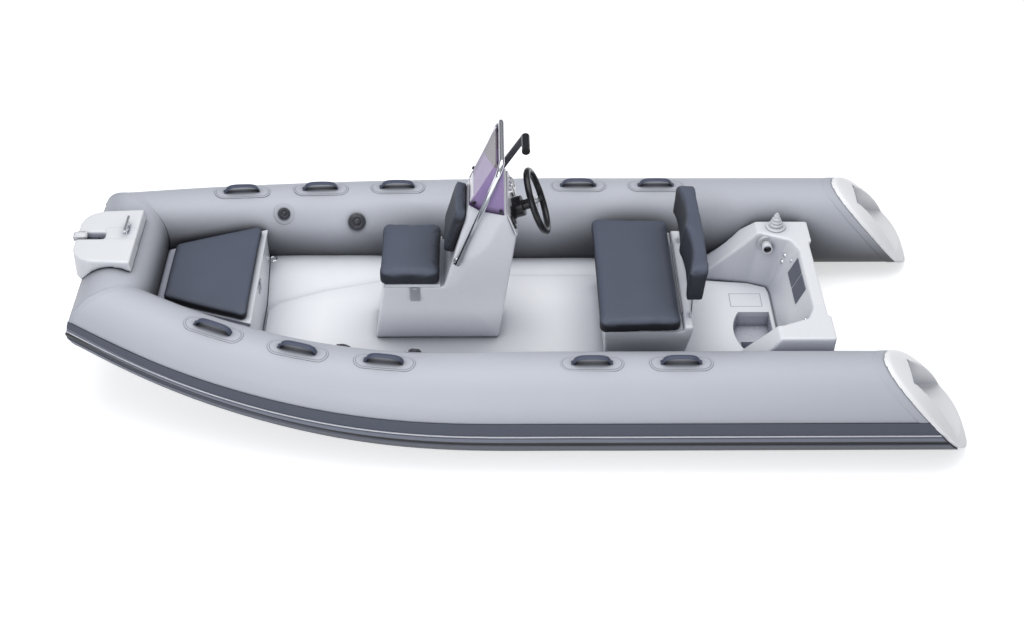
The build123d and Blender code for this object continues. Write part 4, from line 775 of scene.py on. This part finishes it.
# ---- Transom moulding
# Splash well, quarters and transom in one lay-up. The corners are radiused so that the
# mould lets go; slate plastic pads take the outboard's clamps.
moulding_white = gelcoat("moulding_gelcoat", (0.80, 0.81, 0.84), (0.84, 0.85, 0.87), 0.30, 1.5, 0.24,
                         Coat_Weight=0.25)
transom = softened("transom_shell", "transom_moulding", 0.005, 14, moulding_white)
pad_plastic, shader, place = new_finish("pad_plastic", Specular_IOR_Level=0.4)
grain = noise(place, 300.0, 3.0)
grain.mixed((0.115, 0.125, 0.160, 1.0), (0.150, 0.160, 0.200, 1.0)).feeds(shader, "Base Color")
(0.45 + 0.15 * grain).feeds(shader, "Roughness")
bumped(shader, grain, 0.0003)
nodes["transom_pads"].data.materials[0] = pad_plastic
STUD_RINGS = [(0.0, 0.0085), (0.004, 0.0082), (0.0068, 0.0065), (0.0080, 0.0035), (0.0082, 0.0015),
              (0.0110, 0.0012), (0.0115, -0.0010)]
STUDS = [((-1.351, -0.292, 0.310), 1.0), ((-1.340, -0.285, 0.275), 1.0), ((-1.372, -0.232, 0.322), 0.8),
         ((-1.372, 0.244, 0.325), 1.1)]
steel, shader, place = new_finish("polished_steel", Metallic=1.0)
brushed = noise(place, 60.0, 4.0, 0.6)
tone = brushed.mixed((0.70, 0.71, 0.74, 1.0), (0.82, 0.83, 0.86, 1.0))
tone.times(openness(place, 0.02, 0.6)).feeds(shader, "Base Color")
(0.10 + 0.12 * brushed).feeds(shader, "Roughness")
bumped(shader, brushed, 0.0001)
studs = []
for spot, scale in STUDS:
    found, spot, out, face = transom.closest_point_on_mesh(Vector(spot))
    studs.append(stood_on(turned(STUD_RINGS, scale, 24), spot, out, Vector((0.0, 1.0, 0.0))))
stud_piece = new_piece("transom_studs", joined(*studs), steel)


# ---- Cable gland and rigging elbow
# A moulded rubber bellows on a disc passes the cables; below it a flanged elbow takes
# the engine's rigging hose.
gland_plastic, shader, place = new_finish("gland_plastic", Specular_IOR_Level=0.5)
grain = noise(place, 200.0, 2.0)
tone = grain.mixed((0.74, 0.75, 0.78, 1.0), (0.80, 0.81, 0.84, 1.0))
tone.times(openness(place, 0.045, 1.2)).feeds(shader, "Base Color")
(0.36 + 0.12 * grain).feeds(shader, "Roughness")
bumped(shader, grain, 0.0002)
GLAND_PLACE = (-1.313, -0.421, 0.395)
GLAND_RINGS = [(0.0500, -0.001), (0.0500, 0.004), (0.0488, 0.0065), (0.0470, 0.0075), (0.0375, 0.0085),
               (0.0345, 0.0110), (0.0330, 0.0160), (0.0350, 0.0190), (0.0350, 0.0220), (0.0300, 0.0270),
               (0.0270, 0.0290), (0.0260, 0.0320), (0.0285, 0.0350), (0.0285, 0.0380), (0.0240, 0.0430),
               (0.0210, 0.0450), (0.0200, 0.0480), (0.0225, 0.0510), (0.0220, 0.0540), (0.0180, 0.0590),
               (0.0150, 0.0620), (0.0140, 0.0720), (0.0130, 0.0760), (0.0075, 0.0780), (0.0070, 0.0850),
               (0.0, 0.0860)]
gland = stood_on(turned(GLAND_RINGS, 1.0, 64), Vector(GLAND_PLACE), Vector((0.0, 0.0, 1.0)),
                 Vector((1.0, 0.0, 0.0)))
gland_piece = new_piece("gland_bellows", gland, gland_plastic)
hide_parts("cable_gland")
nodes["rigging_elbow"].data.materials[0] = gland_plastic
# A black disc sits at the foot of the elbow's bore and darkens its mouth.
bore_black, shader, place = new_finish("bore_black", Roughness=0.6)
noise(place, 200.0).mixed((0.006, 0.006, 0.008, 1.0), (0.016, 0.016, 0.020, 1.0)).feeds(
    shader, "Base Color")
BORE_DISC_RINGS = [(0.0, 0.001), (0.0150, 0.001), (0.0170, 0.003), (0.0190, 0.001), (0.0196, -0.001)]
bore_disc = stood_on(turned(BORE_DISC_RINGS, 1.0, 48), Vector((-1.262, -0.352, 0.338)),
                    Vector((0.0, 1.0, 0.0)), Vector((1.0, 0.0, 0.0)))
bore_disc_piece = new_piece("elbow_bore_disc", bore_disc, bore_black)


# ---- Bow locker
# Gelcoated glass-fibre box under the bow pad, with coved edges, glassed to the liner.
# Its lid is hinged at the forward edge.
box_white = gelcoat("locker_gelcoat", (0.75, 0.76, 0.79), (0.79, 0.80, 0.83), 0.25, 1.1, 0.30,
                    Coat_Weight=0.15)
softened("bow_locker_shell", "bow_locker", 0.006, 8, box_white)
nodes["bow_locker_lid"].data.materials[0] = box_white


# ---- Bow step
# Moulded tread over the cross tube with rounded skirts, a slot for the anchor roller and
# a flush lid let in round the cleat.
LID_PLACE, LID_HALF = (1.925, -0.015), (0.078, 0.045)
step_white, shader, place = new_finish("step_gelcoat", Coat_Weight=0.2)
groove = lid_groove(place, LID_PLACE, LID_HALF, 0.0011, 0.0010)
tone = noise(place, 3.0, 3.0).mixed((0.77, 0.78, 0.80, 1.0), (0.80, 0.81, 0.83, 1.0))
tone = groove.mixed(tone, (0.58, 0.60, 0.64, 1.0))
shaded(tone, openness(place, 0.12, 0.9), (0.22, 0.24, 0.32)).feeds(shader, "Base Color")
grain = noise(place, 300.0, 2.0)
(0.34 + 0.10 * grain).feeds(shader, "Roughness")
bumped(shader, grain - groove * 2.0, 0.0002)
step = softened("bow_step_shell", "bow_step", 0.004, 22, step_white)
# Its chamfered front corners are drawn out to round ones.
STEP_CORNER, STEP_CHAMFER, STEP_FRONT, STEP_SIDE = 0.115, 0.071, 2.138, 0.202
for vertex in step.data.vertices:
    run = vertex.co.x - STEP_FRONT + STEP_CORNER
    wide = abs(vertex.co.y) - STEP_SIDE + STEP_CORNER
    if run > 0.0 and wide > 0.0:
        angle = atan2(wide, run)
        edge = min(STEP_CORNER / max(cos(angle), sin(angle)),
                   (2.0 * STEP_CORNER - STEP_CHAMFER) / (cos(angle) + sin(angle)))
        gain = STEP_CORNER / edge - 1.0
        vertex.co.x += run * gain
        vertex.co.y += wide * gain * (1.0 if vertex.co.y > 0.0 else -1.0)
LIP_SIZE, LIP_PLACE, LIP_ROUND = (0.066, 0.046, 0.030), (2.120, 0.0, 0.654), 0.006
lip = box_bar(LIP_SIZE, (0.0, 0.0, 0.0))
bmesh.ops.bevel(lip, geom=[edge for edge in lip.edges if edge.calc_length() > 2.0 * LIP_ROUND],
                offset=LIP_ROUND, offset_type="OFFSET", segments=3, profile=0.5, affect="EDGES",
                material=-1)
bmesh.ops.translate(lip, vec=LIP_PLACE, verts=lip.verts[:])
lip_piece = new_piece("fairlead_lip", lip, gland_plastic)
round_lip = lip_piece.modifiers.new("rounding", "SUBSURF")
round_lip.levels = round_lip.render_levels = 2
nodes["roller_fairlead"].data.materials[0] = steel


# ---- Console
# One glass-fibre moulding holds the seat front, dash and footwell, radiused at every
# edge and bolted to the sole. The rear seat's box is made in the same way.
console_white = gelcoat("console_gelcoat", (0.81, 0.82, 0.86), (0.84, 0.85, 0.89), 0.20, 0.8, 0.24,
                        Coat_Weight=0.25)
softened("console_shell", "console", 0.005, 12, console_white)
nodes["dash_panel"].data.materials[0] = console_white
nodes["console_seat_lid"].data.materials[0] = console_white
softened("rear_seat_shell", "rear_seat_box", 0.006, 10, console_white)
nodes["rear_seat_lid"].data.materials[0] = console_white


# ---- Windscreen and rail
# Tinted acrylic bent round the console's brow and bolted to it, inside a polished hoop.
# Its lilac tint carries painted light: grey above a sloping line near the top is a painted
# reflection, and painted shade darkens the foot and, in part, the starboard half.
screen_tint_and_painted_light, shader, place = new_finish("screen_tint_and_painted_light", Transmission_Weight=0.4, IOR=1.30)
x, y, z = parts_of(place)
cloud = noise(place, 9.0, 2.0)
# lower is the acrylic's own lilac tint; upper is the grey of the painted reflection, shown above the
# sloping line.
lower = cloud.mixed((0.43, 0.31, 0.60, 1.0), (0.52, 0.40, 0.68, 1.0))
upper = cloud.mixed((0.28, 0.24, 0.27, 1.0), (0.31, 0.27, 0.30, 1.0))
brow = (z - 0.35 * y).above(1.095, 0.006)
# corner lets part of the painted shade from the foot spread over the starboard half.
corner = (0.55 + 0.45 * (y + 0.22 * z).above(0.150, 0.05)).clamped()
foot_and_side_shade = (z + 0.05 * y).above(0.946, 0.030) * corner
foot_and_side_shade.mixed((0.075, 0.035, 0.13, 1.0), brow.mixed(lower, upper)).feeds(shader, "Base Color")
(0.03 + 0.04 * noise(place, 20.0)).feeds(shader, "Roughness")
nodes["windscreen"].data.materials[0] = screen_tint_and_painted_light


BEND_STEPS = 14


def bent_tube(corners, radius, bend, sides=24):
    """Round tube along straight runs, each corner between them bent to an arc."""
    line = [corners[0]]
    for before, corner, after in zip(corners, corners[1:], corners[2:]):
        back, on = (before - corner).normalized(), (after - corner).normalized()
        half = back.angle(on) / 2.0
        centre = corner + (back + on).normalized() * bend / sin(half)
        start = (corner + back * bend / tan(half) - centre).normalized()
        end = (corner + on * bend / tan(half) - centre).normalized()
        line += [centre + start.slerp(end, step / BEND_STEPS) * bend for step in range(BEND_STEPS + 1)]
    line.append(corners[-1])
    made = bmesh.new()
    rings, side = [], Vector((1.0, 0.0, 0.0))
    for index, spot in enumerate(line):
        along = (line[min(index + 1, len(line) - 1)] - line[max(index - 1, 0)]).normalized()
        side = (side - along * side.dot(along)).normalized()
        up = along.cross(side)
        rings.append([made.verts.new(spot + (side * cos(angle) + up * sin(angle)) * radius)
                      for angle in (2.0 * pi * step / sides for step in range(sides))])
    for low, high in zip(rings, rings[1:]):
        for step in range(sides):
            after = (step + 1) % sides
            made.faces.new((low[step], low[after], high[after], high[step]))
    made.faces.new(rings[0][::-1])
    made.faces.new(rings[-1])
    bmesh.ops.recalc_face_normals(made, faces=made.faces)
    return made


HOOP_RADIUS, HOOP_BEND = 0.0132, 0.058
RAIL_CORNERS = [Vector((0.3085, 0.214, 0.641)), Vector((0.100, 0.214, 1.186)),
                Vector((0.100, -0.214, 1.186)), Vector((0.3085, -0.214, 0.641))]
hoop = new_piece("screen_hoop", bent_tube(RAIL_CORNERS, HOOP_RADIUS, HOOP_BEND), steel)
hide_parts("screen_rail")
FOOT_RINGS = [(0.0, 0.014), (0.0120, 0.014), (0.0150, 0.0115), (0.0165, 0.0070), (0.0220, 0.0050),
              (0.0235, 0.0030), (0.0235, -0.002)]
foot = stood_on(turned(FOOT_RINGS, 1.0, 40), Vector((0.307, 0.1975, 0.645)), Vector((0.0, 1.0, 0.0)),
                Vector((1.0, 0.0, 0.0)))
feet = new_piece("rail_feet", both_ports(foot), steel)


# ---- Helm
# Two dials with bright rings on a pale dash, rocker switches, the helm unit and a
# three-spoke wheel with a padded rim.
soft_black, shader, place = new_finish("soft_black", Specular_IOR_Level=0.4)
grain = noise(place, 380.0, 3.0)
tone = grain.mixed((0.006, 0.006, 0.008, 1.0), (0.013, 0.013, 0.016, 1.0))
tone.times(openness(place, 0.04, 0.6)).feeds(shader, "Base Color")
(0.22 + 0.14 * grain).feeds(shader, "Roughness")
bumped(shader, grain, 0.0002)
satin, shader, place = new_finish("satin_metal", Metallic=0.7)
grain = noise(place, 90.0, 3.0)
grain.mixed((0.10, 0.10, 0.12, 1.0), (0.16, 0.16, 0.18, 1.0)).feeds(shader, "Base Color")
(0.28 + 0.14 * grain).feeds(shader, "Roughness")
dial_black, shader, place = new_finish("dial_face", Coat_Weight=0.6)
noise(place, 80.0).mixed((0.010, 0.010, 0.014, 1.0), (0.020, 0.021, 0.027, 1.0)).feeds(
    shader, "Base Color")
(0.20 + 0.08 * noise(place, 200.0)).feeds(shader, "Roughness")
tick_white, shader, place = new_finish("tick_white", Roughness=0.5)
noise(place, 300.0).mixed((0.66, 0.67, 0.70, 1.0), (0.80, 0.81, 0.84, 1.0)).feeds(
    shader, "Base Color")
dash_foot, dash_up = Vector((0.0415, 0.0, 0.8145)), Vector((0.3450, 0.0, 0.9386))
dash_out = Vector((-0.9386, 0.0, 0.3450))
DIALS_ACROSS, DIAL_UP, DIAL_OUT = (-0.152, -0.086), 0.042, 0.0118
DIAL_RINGS = [(0.0, 0.001), (0.010, 0.001), (0.0252, 0.001), (0.0258, -0.0004)]
FIRST_TICK, TICK_STEP, TICKS = -30.0, 24.0, 11
faces, ticks = [], []
for across in DIALS_ACROSS:
    middle = dash_foot + dash_up * DIAL_UP + Vector((0.0, across, 0.0)) + dash_out * DIAL_OUT
    faces.append(stood_on(turned(DIAL_RINGS, 1.0, 40), middle, dash_out, dash_up))
    marks = [box_bar((0.0050, 0.0011, 0.0008), (0.0205, 0.0, 0.0014), FIRST_TICK + TICK_STEP * step)
             for step in range(TICKS)]
    marks.append(box_bar((0.0180, 0.0016, 0.0008), (0.0080, 0.0, 0.0020), 118.0))
    ticks.append(stood_on(joined(*marks), middle, dash_out, -dash_up))
face_piece = new_piece("dial_faces", joined(*faces), dial_black)
tick_piece = new_piece("dial_ticks", joined(*ticks), tick_white)


# ---- Latches, eyes and the other fittings
# Bought-in hardware, polished stainless or moulded plastic, screwed to the mouldings.
# The flat latches are brushed, which keeps them pale under the open sky.
ring_steel, shader, place = new_finish("ring_chrome", Metallic=1.0)
grain = noise(place, 50.0, 3.0)
grain.mixed((0.72, 0.73, 0.76, 1.0), (0.80, 0.81, 0.84, 1.0)).feeds(shader, "Base Color")
(0.06 + 0.08 * grain).feeds(shader, "Roughness")
brushed_steel, shader, place = new_finish("brushed_steel", Metallic=0.55)
grain = noise(place, 150.0, 3.0)
grain.mixed((0.50, 0.52, 0.56, 1.0), (0.64, 0.66, 0.70, 1.0)).feeds(shader, "Base Color")
(0.26 + 0.12 * grain).feeds(shader, "Roughness")
FITTING_FINISHES = {
    "stainless": steel, "black_plastic": soft_black, "satin_metal": satin, "bright_ring": ring_steel,
    "white_plastic": gland_plastic, "cap_white": cap_plastic,
}
DRESSED = ("roller_fairlead", "rigging_elbow", "dash_panel")
for name, node in nodes.items():
    if slot_of[name] in FITTING_FINISHES and name not in DRESSED:
        node.data.materials[0] = FITTING_FINISHES[slot_of[name]]
nodes["latches"].data.materials[0] = brushed_steel
